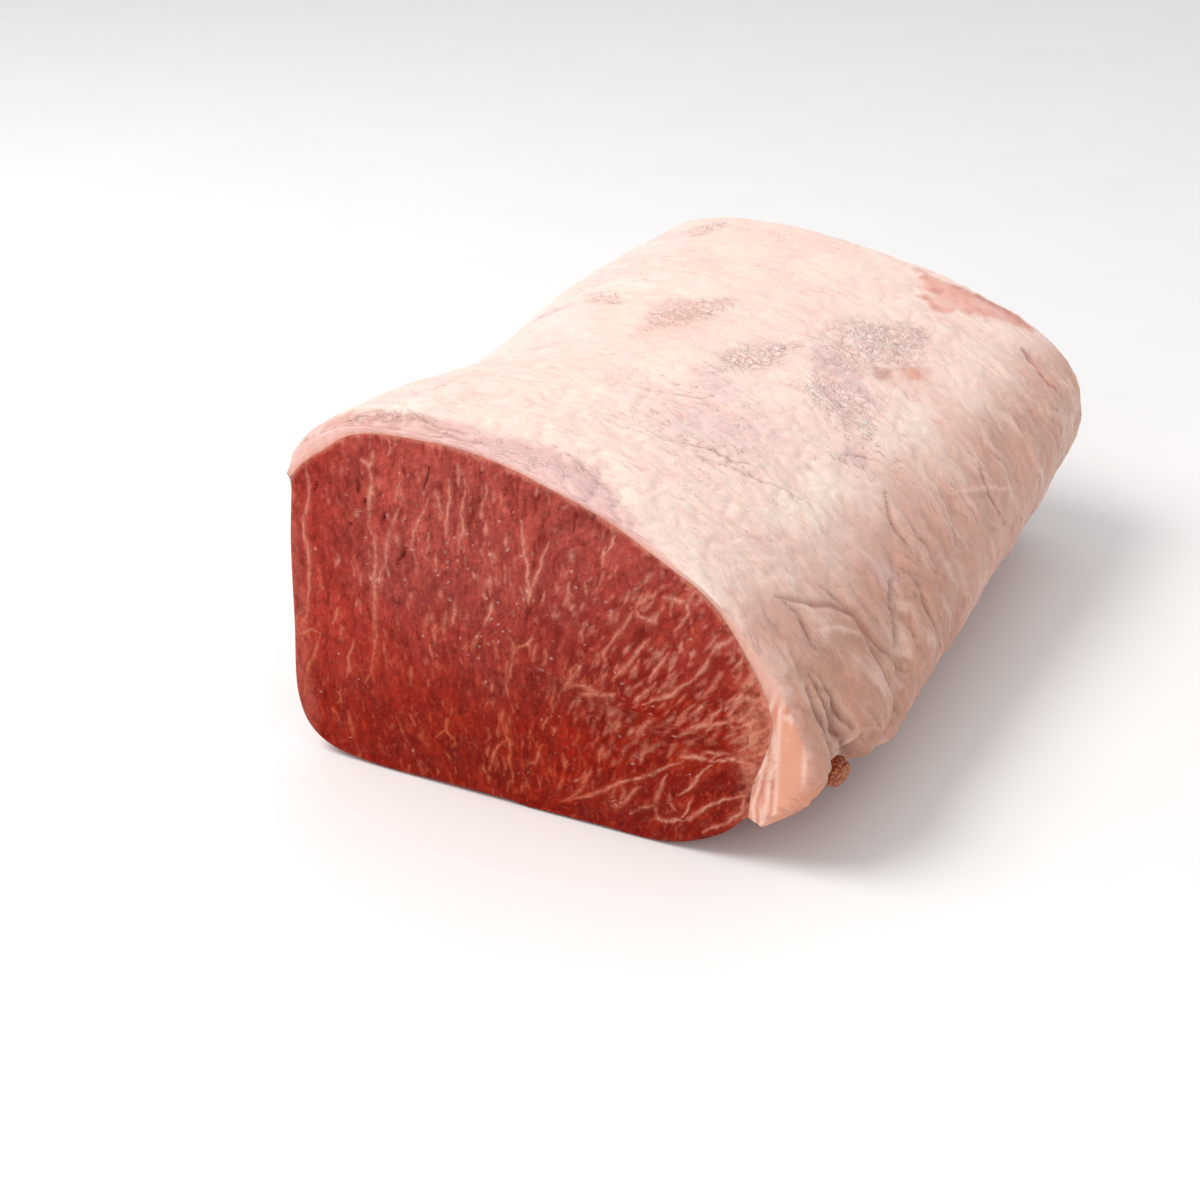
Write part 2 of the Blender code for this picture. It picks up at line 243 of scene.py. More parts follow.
def fold_depth(l, share):
    """How deep the folds press into the fat at l and each share of the fat line."""
    points = np.stack([np.full_like(share, l), share * FAT_LINE_LENGTH], axis=1)
    depth = np.zeros_like(share)
    for start, end, deep, half in FOLDS:
        a, b = (np.array([at[0], at[1] * FAT_LINE_LENGTH]) for at in (start, end))
        along = np.clip((points - a) @ (b - a) / ((b - a) @ (b - a)), 0.0, 1.0)
        away = np.linalg.norm(points - a - along[:, None] * (b - a), axis=1)
        depth += deep * np.sin(np.pi * (0.12 + 0.76 * along)) * hump(away, 0.0, half)
    return depth


def roll(l):
    """How far the edge of a cut end is rolled in at l, from 1 at the cut to 0."""
    edge = np.clip(1.0 - min(l, LENGTH - l) / ROLL_LENGTH, 0.0, 1.0)
    return 1.0 - np.sqrt(1.0 - edge * edge)


def fat_lines(l):
    """The fat's outer and inner lines at l."""
    split = (SEAM_ANCHOR, SEAM_INDEX)
    outer = through(fat_anchors(l, (1, 3), 3), FAT_POINTS, split)
    inner = through(fat_anchors(l, (2, 4), 4), FAT_POINTS, split)
    share = np.linspace(0.0, 1.0, FAT_POINTS)
    away_from_cut = ease((l - THIN_FROM) / THIN_BLEND) * ease((LENGTH - l) / THIN_BLEND)
    thinning = (1.0 - THIN_EDGE) * away_from_cut * ease((share - THIN_SHARE) / (1.0 - THIN_SHARE))
    inner = inner + (outer - inner) * thinning[:, None]
    thickness = np.linalg.norm(outer - inner, axis=1)
    pressed = np.minimum(fold_depth(l, share), FOLD_LIMIT * thickness)
    rolled = np.minimum(shaping(2, FAT_POINTS) * roll(l), ROLL_LIMIT * thickness)
    outer = outer + inward(outer) * (pressed + rolled)[:, None]
    return outer, inner


def core_lines(l):
    """The core's line under the fat, its bare lines and the seam, all at l."""
    top = fat_lines(l)[1]
    eye = blend(*([row[i] for row in EYE_BARE_LINE] for i in (1, 2)), l)
    scallop = SCALLOP_DEPTH * 0.5 * (1.0 - np.cos(2.0 * np.pi * l / SCALLOP_PITCH))
    eye[-3:, 0] += scallop + SADDLE_INSET * hump(l, SADDLE_AT, SADDLE_HALF)
    eye[-1, 1] -= 0.5 * FAT_SHAPING[0, 0] * hump(l, SADDLE_AT, SADDLE_HALF)
    side = blend(*([row[i] for row in SIDE_BARE_LINE] for i in (1, 2)), l)
    side[:, 0] += np.array([row[3] for row in SIDE_BARE_LINE]) * belly(l)
    side[0] += NOTCH_FILL * notch(l)
    seam = through(np.vstack([top[SEAM_INDEX], blend(SEAM_FRONT, SEAM_BACK, l), eye[0]]), SEAM_POINTS)
    eye = through(np.vstack([eye, top[0]]), EYE_BARE_POINTS)
    side = through(np.vstack([top[-1], side, seam[-1]]), SIDE_BARE_POINTS)
    return top, eye, side, seam


def eye_ring(l, stride=CORE_STRIDE):
    """The eye's section, closed: under the fat, down the seam, along the bottom and up the left side."""
    top, eye, _, seam = core_lines(l)
    return np.vstack([top[:SEAM_INDEX:stride], seam, eye[1:-1]])


def side_ring(l, stride=CORE_STRIDE):
    top, _, side, seam = core_lines(l)
    return np.vstack([top[SEAM_INDEX::stride], side[1:-1], seam[:0:-1]])


def to_world(l, ring, bulge=0.0):
    """Points in metres. The front cut turns back to the right, and its middle bulges."""
    w, z = ring[:, 0], ring[:, 1]
    yaw = FACE_YAW * np.clip(w / FACE_YAW_WIDTH, 0.0, None) ** 1.5
    y = l - BASE_CENTRE_L + yaw * (1.0 - l / LENGTH) ** 3
    y += bulge * np.sign(l - 0.5 * LENGTH)
    return np.stack([w - BASE_CENTRE_W, y, np.maximum(z, 0.0)], axis=1) * MM


# Noise and strokes

LATTICE = 32
SLOPES = np.random.default_rng(7).normal(size=(LATTICE, LATTICE, LATTICE, 3))
SLOPES /= np.linalg.norm(SLOPES, axis=3)[..., None]
NOISE_SHIFT = np.array([5.37, 11.91, 17.13])


def noise(points, size, seed):
    """Smooth noise, about -1 to 1, with blobs of the given size in mm. size is one number or one an axis."""
    at = points / np.array(size) + seed * NOISE_SHIFT
    cell = np.floor(at).astype(int)
    part = at - cell
    smooth = part**3 * (part * (part * 6.0 - 15.0) + 10.0)
    total = np.zeros(len(points))
    for corner in itertools.product((0, 1), repeat=3):
        i, j, k = ((cell[:, axis] + corner[axis]) % LATTICE for axis in range(3))
        weight = np.prod(np.where(corner, smooth, 1.0 - smooth), axis=1)
        total += weight * ((part - corner) * SLOPES[i, j, k]).sum(axis=1)
    return 1.7 * total


def layered(points, size, seed, layers=3):
    """Noise with finer and weaker layers on it."""
    size = np.array(size, float)
    return sum(noise(points, size * 0.5**i, seed + 3 * i) * 0.5**i for i in range(layers)) / 1.5


def flat(first, second):
    """Points for noise from two coordinates."""
    return np.stack([first, second, np.zeros_like(first)], axis=1)


def strokes(at, items):
    """How strongly tapered strokes cover each point, 0 to 1. An item is (half width, points)."""
    cover = np.zeros(len(at))
    for half, line in items:
        line = np.array(line, float)
        reach = 2.6 * half
        near = np.all((at > line.min(axis=0) - reach) & (at < line.max(axis=0) + reach), axis=1)
        spot = at[near]
        steps = np.linalg.norm(np.diff(line, axis=0), axis=1)
        so_far = np.concatenate([[0.0], np.cumsum(steps)])
        best = np.zeros(len(spot))
        for a, b, step, start in zip(line, line[1:], steps, so_far):
            along = np.clip((spot - a) @ (b - a) / step**2, 0.0, 1.0)
            away = np.linalg.norm(spot - a - along[:, None] * (b - a), axis=1)
            taper = 0.45 + 0.55 * np.sin(np.pi * (start + along * step) / so_far[-1])
            best = np.maximum(best, hump(away, 0.0, half * taper) * (0.4 + 0.6 * taper))
        cover[near] = np.maximum(cover[near], best)
    return cover


def widened(items, times):
    return [(times * half, line) for half, line in items]


def srgb(red, green, blue):
    """A linear colour from the 0 to 255 values of a picture."""
    value = np.array([red, green, blue]) / 255.0
    return np.where(value <= 0.04045, value / 12.92, ((value + 0.055) / 1.055) ** 2.4)


def mix(colour, other, share):
    share = np.clip(share, 0.0, 1.0)[:, None]
    return colour * (1.0 - share) + np.array(other) * share


def layers_over(colour, *layers):
    """A colour with layers over it, each one a colour and how much of it covers."""
    for other, share in layers:
        colour = mix(colour, other, share)
    return colour


def plain(colour, count):
    return np.tile(colour, (count, 1))


# Meshes

def placed(name, data):
    """A new object in the scene."""
    obj = bpy.data.objects.new(name, data)
    bpy.context.scene.collection.objects.link(obj)
    return obj


def grid_faces(rows, columns):
    """Quads of a sheet of rows by columns points."""
    first = (np.arange(rows - 1)[:, None] * columns + np.arange(columns - 1)[None]).ravel()
    return np.stack([first, first + 1, first + columns + 1, first + columns], axis=1)


class Patches:
    """Sheets of points with their marks, such as surface coordinates, welded where they meet."""

    def __init__(self):
        self.points, self.marks, self.quads, self.triangles = [], [], [], []
        self.count = 0

    def add(self, points, marks, quads=(), triangles=()):
        for kind, faces in ((self.quads, quads), (self.triangles, triangles)):
            if len(faces):
                kind.append(np.array(faces) + self.count)
        self.points.append(points)
        self.marks.append(marks)
        self.count += len(points)

    def sheet(self, rows, marks):
        """A sheet from an array of rows x columns x 3 points."""
        shape = rows.shape
        self.add(rows.reshape(-1, 3), marks.reshape(-1, marks.shape[-1]), grid_faces(shape[0], shape[1]))

    def build(self, name):
        """The welded mesh object, and the marks of its vertices."""
        points, marks = np.vstack(self.points), np.vstack(self.marks)
        keys = np.round(points / (0.01 * MM)).astype(np.int64)
        _, kept, place = np.unique(keys, axis=0, return_index=True, return_inverse=True)
        place = place.ravel()
        faces = []
        for group in (*self.quads, *self.triangles):
            for face in place[group].tolist():
                corners = list(dict.fromkeys(face))
                if len(corners) > 2:
                    faces.append(corners)
        mesh = bpy.data.meshes.new(name)
        mesh.from_pydata(points[kept].tolist(), [], faces)
        body = bmesh.new()
        body.from_mesh(mesh)
        bmesh.ops.recalc_face_normals(body, faces=body.faces)
        body.to_mesh(mesh)
        body.free()
        mesh.shade_smooth()
        return placed(name, mesh), marks[kept]


def vertex_values(mesh, name):
    values = np.empty(len(mesh.vertices) * 3, np.float32)
    mesh.vertices.foreach_get(name, values)
    return values.reshape(-1, 3).astype(float)


def places(obj):
    """Where the vertices are, as (w, l, z) in mm."""
    return vertex_values(obj.data, "co") / MM + (BASE_CENTRE_W, BASE_CENTRE_L, 0.0)


def push_out(obj, height, aside=0.0):
    """Move each vertex along its normal and aside to the left, by mm, but not out of the solids' box."""
    mesh = obj.data
    moved = vertex_values(mesh, "co") + vertex_values(mesh, "normal") * (height * MM)[:, None]
    moved[:, 0] -= aside * MM
    moved = np.clip(moved, CAD_BOX[0], CAD_BOX[1])
    mesh.vertices.foreach_set("co", moved.astype(np.float32).ravel())
    mesh.update()


def paint(obj, colour, **masks):
    """Keep the colour and the masks on the vertices, for the material to read."""
    mesh = obj.data
    count = len(mesh.vertices)
    values = np.ones((count, 4), np.float32)
    values[:, :3] = np.clip(colour, 0.0, 1.0)
    mesh.attributes.new("tint", "FLOAT_COLOR", "POINT").data.foreach_set("color", values.ravel())
    for name, mask in masks.items():
        kind, field = ("FLOAT", "value") if mask.ndim == 1 else ("FLOAT_VECTOR", "vector")
        layer = mesh.attributes.new(name, kind, "POINT")
        layer.data.foreach_set(field, mask.astype(np.float32).ravel())


# Materials

class Nodes:
    """A material's nodes, made one after another."""

    def __init__(self, name):
        self.material = bpy.data.materials.new(name)
        self.material.use_nodes = True
        self.tree = self.material.node_tree
        self.shader = self.tree.nodes["Principled BSDF"]

    def add(self, kind, inputs, **settings):
        node = self.tree.nodes.new(kind)
        for key, value in settings.items():
            setattr(node, key, value)
        self.fill(node, inputs)
        return node

    def fill(self, node, inputs):
        for key, value in inputs.items():
            if isinstance(value, bpy.types.NodeSocket):
                self.tree.links.new(value, node.inputs[key])
            else:
                node.inputs[key].default_value = value

    def read(self, name, output="Fac"):
        return self.add("ShaderNodeAttribute", {}, attribute_name=name).outputs[output]

    def math(self, operation, first, second, clamp=False):
        inputs = {0: first, 1: second}
        return self.add("ShaderNodeMath", inputs, operation=operation, use_clamp=clamp).outputs[0]

    def multiply(self, first, second):
        return self.math("MULTIPLY", first, second)

    def noise(self, where, scale, detail=3.0, rough=0.55):
        inputs = {"Vector": where, "Scale": scale, "Detail": detail, "Roughness": rough}
        return self.add("ShaderNodeTexNoise", inputs).outputs["Fac"]

    def cells(self, where, scale, feature="DISTANCE_TO_EDGE"):
        inputs = {"Vector": where, "Scale": scale}
        return self.add("ShaderNodeTexVoronoi", inputs, feature=feature).outputs["Distance"]

    def spread(self, value, low, high, to_low=0.0, to_high=1.0):
        inputs = {"Value": value, "From Min": low, "From Max": high, "To Min": to_low, "To Max": to_high}
        return self.add("ShaderNodeMapRange", inputs).outputs["Result"]

    def stretch(self, vector, scale):
        inputs = {0: vector, 1: scale}
        return self.add("ShaderNodeVectorMath", inputs, operation="MULTIPLY").outputs[0]

    def mix(self, share, first, second, kind="MIX"):
        inputs = {0: share, 6: first, 7: second}
        return self.add("ShaderNodeMix", inputs, data_type="RGBA", blend_type=kind).outputs[2]

    def wash(self, share, under, red, green, blue):
        """A colour given as 0 to 255 values, over another."""
        return self.mix(share, under, (*srgb(red, green, blue), 1.0))

    def shaded(self, shade):
        """The colour painted on the vertices, times a grey shade."""
        return self.mix(1.0, self.read("tint", "Color"), self.mix(shade, grey(0.0), grey(1.0)), "MULTIPLY")

    def apart(self, vector):
        """The three numbers of a vector."""
        return self.add("ShaderNodeSeparateXYZ", {"Vector": vector}).outputs[:3]

    def warp(self, vector, scale, reach):
        """A vector bent by noise, by about reach."""
        inputs = {"Vector": vector, "Scale": scale, "Detail": 2.0}
        away = self.add("ShaderNodeTexNoise", inputs).outputs["Color"]
        inputs = {0: away, 1: (reach,) * 3, 2: vector}
        return self.add("ShaderNodeVectorMath", inputs, operation="MULTIPLY_ADD").outputs[0]

    def contour(self, value, half):
        """1 along the lines where noise is at its middle, and 0 beyond a half width either side."""
        away = self.math("ABSOLUTE", self.math("SUBTRACT", value, 0.5), 0.0)
        return self.spread(away, half, 0.0)

    def bump(self, height, distance, below=None):
        inputs = {"Height": height, "Distance": distance * MM, "Strength": 1.0}
        if below is not None:
            inputs["Normal"] = below
        return self.add("ShaderNodeBump", inputs).outputs["Normal"]

    def place(self):
        """Object coordinates in mm."""
        where = self.add("ShaderNodeTexCoord", {}).outputs["Object"]
        return self.stretch(where, (1.0 / MM,) * 3)


def grey(value):
    return (value, value, value, 1.0)


def fat_material():
    """Moist fat: a soft sheen, long thin creases, nets of fine crinkles and stripes down the flank."""
    nodes = Nodes("fat")
    where, grain = nodes.place(), nodes.read("grain", "Vector")
    net, lined, striped = nodes.apart(nodes.read("marked", "Vector"))
    bent = nodes.warp(grain, 0.30, 3.4)
    wide_cells = nodes.cells(nodes.stretch(bent, (0.20, 0.46, 1.0)), 1.0)
    small_cells = nodes.cells(nodes.stretch(bent, (0.44, 0.95, 1.0)), 1.0)
    patchy = nodes.noise(where, 0.42, 3.0)
    pores = nodes.noise(where, 2.6, 3.0)
    blush = nodes.noise(where, 0.30, 4.0)
    fine = nodes.noise(nodes.stretch(bent, (0.22, 1.7, 1.0)), 1.0, 4.0, 0.6)
    long_lines = nodes.noise(nodes.stretch(bent, (0.055, 0.42, 1.0)), 1.0, 2.0, 0.5)
    web = nodes.multiply(nodes.spread(wide_cells, 0.13, 0.0), nodes.spread(patchy, 0.34, 0.60, 0.15, 1.0))
    elsewhere = nodes.spread(patchy, 0.62, 0.42, 0.1, 0.65)
    fine_web = nodes.multiply(nodes.spread(small_cells, 0.12, 0.0), elsewhere)
    web = nodes.multiply(nodes.math("MAXIMUM", web, fine_web), net)
    threads = nodes.multiply(nodes.contour(long_lines, 0.010), nodes.spread(patchy, 0.42, 0.58))
    threads = nodes.multiply(threads, lined)
    stripes = nodes.multiply(nodes.spread(fine, 0.28, 0.72, -1.0, 1.0), striped)
    shade = nodes.math("ADD", nodes.multiply(stripes, 0.20), nodes.spread(fine, 0.3, 0.7, 0.97, 1.02))
    tint = nodes.shaded(shade)
    tint = nodes.wash(nodes.spread(blush, 0.54, 0.80, 0.0, 0.30), tint, 238, 184, 168)
    # Painted highlight on the puffed cell middles; crinkle lines and threads darkened, partly painted shade
    puffed = nodes.multiply(nodes.spread(wide_cells, 0.06, 0.40), net)
    tint = nodes.wash(nodes.multiply(puffed, 0.24), tint, 253, 233, 229)
    tint = nodes.wash(nodes.multiply(web, 0.38), tint, 190, 140, 138)
    tint = nodes.wash(nodes.multiply(threads, 0.60), tint, 168, 122, 120)
    rough = nodes.spread(pores, 0.3, 0.7, 0.38, 0.54)
    normal = nodes.bump(fine, 0.22)
    normal = nodes.bump(nodes.multiply(web, -1.0), 0.24, normal)
    normal = nodes.bump(nodes.multiply(threads, -1.0), 0.16, normal)
    normal = nodes.bump(pores, 0.07, normal)
    nodes.fill(nodes.shader, {
        "Base Color": tint, "Roughness": rough, "Normal": normal, "Specular IOR Level": 0.4,
        "Subsurface Weight": 0.16, "Subsurface Radius": (1.0, 0.45, 0.3), "Subsurface Scale": 1.5 * MM,
        "Coat Weight": 0.10, "Coat Roughness": 0.3,
    })
    return nodes.material


def lean_material():
    """Raw muscle: bundles of fibres a little paler round their edges, and hardly any sheen."""
    nodes = Nodes("lean")
    where = nodes.place()
    bundles = nodes.cells(where, 0.75)
    fibres = nodes.noise(where, 1.25, 4.0, 0.6)
    damp = nodes.noise(where, 0.5, 3.0)
    shade = nodes.spread(fibres, 0.3, 0.7, 0.82, 1.18)
    tint = nodes.shaded(shade)
    edges = nodes.multiply(nodes.spread(bundles, 0.08, 0.0), nodes.spread(damp, 0.40, 0.68, 0.0, 0.16))
    tint = nodes.wash(edges, tint, 190, 92, 74)
    along = nodes.noise(nodes.stretch(where, (1.25, 0.22, 0.55)), 1.0, 4.0, 0.65)
    where_damp = nodes.spread(damp, 0.38, 0.62, 0.35, 1.0)
    pale = nodes.multiply(nodes.spread(along, 0.55, 0.70, 0.0, 0.42), where_damp)
    tint = nodes.wash(pale, tint, 206, 108, 82)
    tint = nodes.wash(nodes.spread(along, 0.45, 0.30, 0.0, 0.50), tint, 98, 14, 8)
    rough = nodes.spread(damp, 0.3, 0.7, 0.36, 0.52)
    normal = nodes.bump(fibres, 0.30)
    normal = nodes.bump(nodes.spread(bundles, 0.0, 0.2), 0.10, normal)
    nodes.fill(nodes.shader, {
        "Base Color": tint, "Roughness": rough, "Normal": normal, "Specular IOR Level": 0.07,
        "Subsurface Weight": 0.06, "Subsurface Radius": (1.0, 0.25, 0.15), "Subsurface Scale": 1.0 * MM,
    })
    return nodes.material


def gland_material():
    """Brown grainy kernel, moist."""
    nodes = Nodes("gland")
    where = nodes.place()
    grains = nodes.cells(where, 1.6, "F1")
    fine = nodes.noise(where, 2.2, 3.0)
    tint = nodes.wash(nodes.spread(grains, 0.15, 0.6), (*srgb(218, 126, 70), 1.0), 146, 60, 30)
    tint = nodes.wash(nodes.spread(fine, 0.55, 0.75, 0.0, 0.5), tint, 214, 150, 104)
    normal = nodes.bump(nodes.multiply(grains, -1.0), 0.4)
    nodes.fill(nodes.shader, {
        "Base Color": tint, "Roughness": nodes.spread(fine, 0.3, 0.7, 0.35, 0.5), "Normal": normal,
        "Subsurface Weight": 0.15, "Subsurface Radius": (1.0, 0.4, 0.2), "Subsurface Scale": 1.5 * MM,
        "Coat Weight": 0.2, "Coat Roughness": 0.25,
    })
    return nodes.material


# The cut's marbling

def traced(*rows):
    """Strokes, each one a half width and its points, from rows of numbers: half width, then two a point."""
    return tuple((half, tuple(zip(flat[::2], flat[1::2]))) for half, *flat in rows)


# Seams of fat traced on the cut: half width, then w, z of each point
FRONT_SEAMS = traced(
    (0.27, 5.6, 59.9, 5.7, 54.0, 4.3, 49.4, 4.5, 44.9, 4.8, 40.5, 4.0, 34.6, 2.5, 29.1, 0.4, 23.9),
    (0.31, 5.8, 25.9, 5.1, 23.2, 2.4, 17.7, 0.6, 11.6),
    (0.20, 0.5, 24.5, 3.4, 26.1, 5.8, 25.9),
    (0.31, 17.6, 62.9, 19.4, 62.3, 20.1, 64.9),
    (0.29, 19.4, 62.3, 19.5, 59.5, 18.9, 55.3, 18.7, 51.0),
    (0.32, 18.6, 51.0, 19.8, 49.3, 19.8, 45.1, 19.2, 40.1, 19.1, 35.0, 18.7, 29.8, 18.0, 24.4, 17.1, 20.6,
     15.6, 18.3),
    (0.51, 18.5, 40.9, 19.8, 40.4, 21.1, 41.3),
    (0.26, 24.9, 55.5, 23.4, 51.7, 22.3, 47.6, 21.5, 44.1, 20.4, 40.9),
    (0.17, 25.6, 60.7, 24.1, 56.7),
    (0.17, 31.1, 58.6, 29.2, 53.9, 27.8, 50.7, 27.5, 48.3, 28.4, 46.8),
    (0.22, 35.2, 63.0, 35.3, 59.7, 34.8, 55.0, 34.3, 52.6),
    (0.20, 38.2, 61.6, 37.9, 58.0, 37.8, 54.2, 36.8, 49.3),
    (0.22, 13.7, 27.1, 12.4, 22.6, 11.7, 18.4),
    (0.31, 11.3, 10.9, 11.6, 8.4, 11.8, 5.1),
    (0.20, 9.0, 29.1, 10.9, 33.3),
    (0.20, 8.2, 14.5, 9.6, 14.4, 9.7, 12.7, 8.5, 11.9),
    (0.24, 48.9, 57.7, 49.5, 54.2, 50.0, 50.5, 50.6, 46.1, 50.6, 43.0),
    (0.26, 54.2, 54.9, 53.0, 51.1, 51.6, 47.1, 50.6, 43.6),
    (0.37, 50.7, 47.2, 50.6, 43.4),
    (0.22, 36.2, 40.2, 35.9, 37.4, 34.9, 34.6),
    (0.37, 43.6, 41.5, 42.9, 39.4),
    (0.22, 42.9, 39.4, 41.8, 36.4),
    (0.37, 31.2, 33.1, 32.1, 35.0),
    (0.26, 46.7, 35.7, 47.7, 33.6, 47.2, 30.5, 46.7, 27.5),
    (0.20, 47.7, 33.8, 49.7, 34.8, 51.2, 36.4),
    (0.29, 52.2, 35.6, 51.2, 31.8),
    (0.31, 60.6, 40.2, 59.8, 37.7),
    (0.26, 33.1, 15.6, 32.7, 13.0, 34.1, 11.0),
    (0.19, 30.3, 10.6, 32.5, 12.9),
    (0.27, 44.7, 18.4, 45.2, 15.2, 46.2, 13.5, 45.5, 10.0, 45.8, 4.7),
    (0.24, 45.8, 14.5, 43.1, 11.9, 42.2, 9.1, 41.4, 5.8),
    (0.27, 53.7, 21.1, 52.5, 17.9),
    (0.26, 52.4, 15.0, 50.6, 10.3, 48.9, 9.4),
    (0.26, 42.9, 25.8, 42.6, 23.5),
    (0.20, 64.1, 56.2, 64.0, 51.9),
    (0.24, 66.1, 58.2, 64.3, 54.9),
    (0.22, 60.8, 49.2, 61.0, 47.0),
    (0.24, 58.4, 48.5, 57.8, 45.0, 57.1, 44.1),
    (0.22, 68.9, 48.9, 67.8, 46.6),
    (0.22, 42.9, 50.6, 43.9, 51.1, 44.4, 49.9),
    (0.22, 71.4, 49.0, 70.1, 46.1),
    (0.34, 70.1, 46.1, 71.1, 44.7, 73.6, 44.3, 74.3, 45.9),
    (0.26, 70.0, 45.4, 68.6, 42.8, 66.4, 39.6, 64.9, 36.6, 64.5, 33.6),
    (0.32, 75.1, 49.1, 77.5, 48.5, 79.4, 49.1),
    (0.34, 80.5, 51.3, 78.9, 48.4, 79.4, 47.0, 78.4, 45.1),
    (0.22, 78.4, 45.1, 77.0, 43.0),
    (0.44, 87.4, 44.3, 85.0, 41.9, 83.3, 39.7),
    (0.37, 83.3, 39.7, 82.4, 37.2, 81.1, 35.8),
    (0.27, 72.6, 41.2, 70.6, 37.9, 68.8, 35.2, 66.4, 31.5),
    (0.26, 76.1, 39.0, 74.3, 35.9, 72.5, 33.3),
    (0.34, 78.7, 41.5, 78.0, 39.0),
    (0.31, 80.7, 40.4, 80.0, 38.5),
    (0.26, 59.3, 33.1, 57.3, 28.3),
    (0.49, 59.0, 29.1, 61.3, 28.9, 63.6, 28.0, 66.2, 28.7),
    (0.41, 60.2, 27.2, 63.6, 28.8),
    (0.31, 81.0, 35.3, 78.5, 32.6, 75.7, 30.4, 71.8, 28.1),
    (0.24, 74.3, 33.0, 72.2, 30.7, 70.5, 28.9),
    (0.34, 86.3, 29.9, 87.1, 32.0, 89.0, 33.8, 90.4, 33.2, 92.3, 33.4),
    (0.34, 78.0, 22.9, 80.9, 25.4, 83.9, 27.1, 86.6, 27.8, 88.4, 26.9),
    (0.27, 88.4, 26.9, 90.6, 28.8, 91.4, 26.5, 91.0, 23.4),
    (0.29, 73.7, 25.8, 71.0, 22.7),
    (0.29, 69.9, 23.2, 68.7, 20.9),
    (0.39, 67.2, 23.1, 66.3, 20.9),
    (0.24, 54.9, 19.4, 54.7, 17.4),
    (0.22, 63.2, 16.6, 63.0, 13.4),
    (0.27, 61.5, 12.0, 59.5, 6.8, 56.9, 4.3),
    (0.26, 85.6, 30.7, 83.7, 27.1),
    (0.24, 82.9, 31.2, 81.2, 27.6),
    (0.22, 89.2, 41.2, 87.3, 37.6),
    (0.32, 55.7, 3.6, 59.3, 5.4, 63.6, 7.9, 67.1, 10.6, 70.9, 12.6, 74.7, 15.1, 76.9, 16.9, 79.1, 18.3),
    (0.44, 78.5, 18.8, 81.0, 19.4, 84.1, 19.6),
    (0.27, 83.2, 19.2, 86.8, 20.3, 90.1, 20.6, 92.0, 20.7),
    (0.20, 83.0, 20.9, 85.2, 21.1, 87.2, 21.4),
    (0.27, 84.2, 18.8, 82.8, 17.2, 81.2, 14.6, 78.5, 11.2),
    (0.27, 76.3, 14.7, 75.1, 11.9, 74.2, 8.3, 74.4, 5.4),
    (0.39, 74.1, 5.1, 76.7, 5.3, 79.3, 6.2),
    (0.32, 79.3, 6.2, 81.5, 7.9, 84.1, 10.4, 87.1, 12.9, 90.3, 14.2),
    (0.24, 74.2, 7.9, 71.9, 6.9, 69.5, 4.9),
    (0.26, 66.3, 9.3, 65.8, 7.2, 66.7, 5.4, 69.0, 7.9, 71.1, 11.2),
    (0.19, 67.5, 10.5, 68.3, 8.8, 67.5, 6.9),
    (0.29, 90.5, 14.3, 90.1, 10.9, 88.0, 8.4, 85.1, 6.0, 82.9, 4.5),
    (0.17, 76.8, 11.5, 77.0, 9.3, 78.4, 7.4),
    (0.17, 80.7, 10.6, 80.2, 7.9, 79.0, 6.7),
)
# Dark slits between the fibres, in the same form
SLITS = traced(
    (0.37, 14.4, 50.7, 15.0, 50.0),
    (0.22, 8.0, 57.5, 6.9, 55.0),
    (0.26, 16.5, 59.2, 16.7, 56.7),
    (0.20, 22.3, 54.2, 21.6, 52.3),
    (0.26, 31.7, 64.1, 30.3, 59.7),
    (0.24, 26.5, 48.5, 24.6, 44.8),
    (0.20, 18.1, 56.1, 17.8, 54.3),
)

LEAN_HIGH = srgb(170, 71, 62)
# The _LOW colours: darker, warmer towards the bottom, the lean's own colour with painted warm bounce light
LEAN_LOW = srgb(142, 22, 2)
LEAN_LEFT = srgb(166, 44, 32)
LEAN_DARK = srgb(116, 20, 12)
PALE_HIGH = srgb(190, 104, 90)
PALE_LOW = srgb(173, 58, 28)
MARBLING_HIGH = srgb(218, 144, 124)
MARBLING_LOW = srgb(203, 105, 74)
MARBLING_RIGHT = srgb(220, 150, 130)
# GLINT is a painted highlight: the colour of the pale specks that stand in for glints on the wet cut
GLINT = srgb(246, 214, 204)
SIDE_RED = srgb(132, 16, 3)
SLIT_RED = srgb(84, 12, 10)

# How many times its half width a seam is drawn, and the paler lean beside it
SEAM_TIMES, HALO_TIMES = 1.15, 3.4

# Seeded flecks: how many, the range of their lengths, of their half widths, and how far they crowd
LARGE_FLECKS = (290, (1.6, 4.6), (0.28, 0.50), 0.85)
SMALL_FLECKS = (480, (0.7, 2.2), (0.18, 0.32), 0.50)
DARK_FLECKS = (420, (1.0, 4.5), (0.22, 0.55), 0.0)
GLINT_COUNT = 120

# The seam over the side muscle at the front cut
SEAM_W = (47.5, 54.7, 63.4, 72.7, 82.8, 92.0)
SEAM_Z = (0.0, 5.9, 12.5, 17.7, 20.4, 21.5)


def fibre_lean(w, z):
    """How far the fibres lean to the right at (w, z): 0 upright, 1 at 45 degrees."""
    return 0.55 * ease((w - 42.0) / 30.0) + 0.45 * ease((w - 68.0) / 20.0) * ease((44.0 - z) / 24.0)


def flecks(seed, count, length, half, crowd):
    """Short seeded strokes along the fibres. crowd says how far they crowd to the lower right."""
    draw = np.random.default_rng(seed)
    items = []
    while len(items) < count:
        w, z = draw.uniform(0.0, 96.0), draw.uniform(0.0, 70.0)
        if draw.random() > 1.0 - crowd + crowd * ease(w / 80.0) * ease((82.0 - z) / 50.0):
            continue
        slope = fibre_lean(w, z) + draw.normal(0.0, 0.16)
        reach = 0.5 * draw.uniform(*length) / np.hypot(1.0, slope)
        bend = draw.normal(0.0, 0.18) * reach
        line = ((w - slope * reach, z - reach), (w + bend, z), (w + slope * reach, z + reach))
        items.append((draw.uniform(*half), line))
    return items


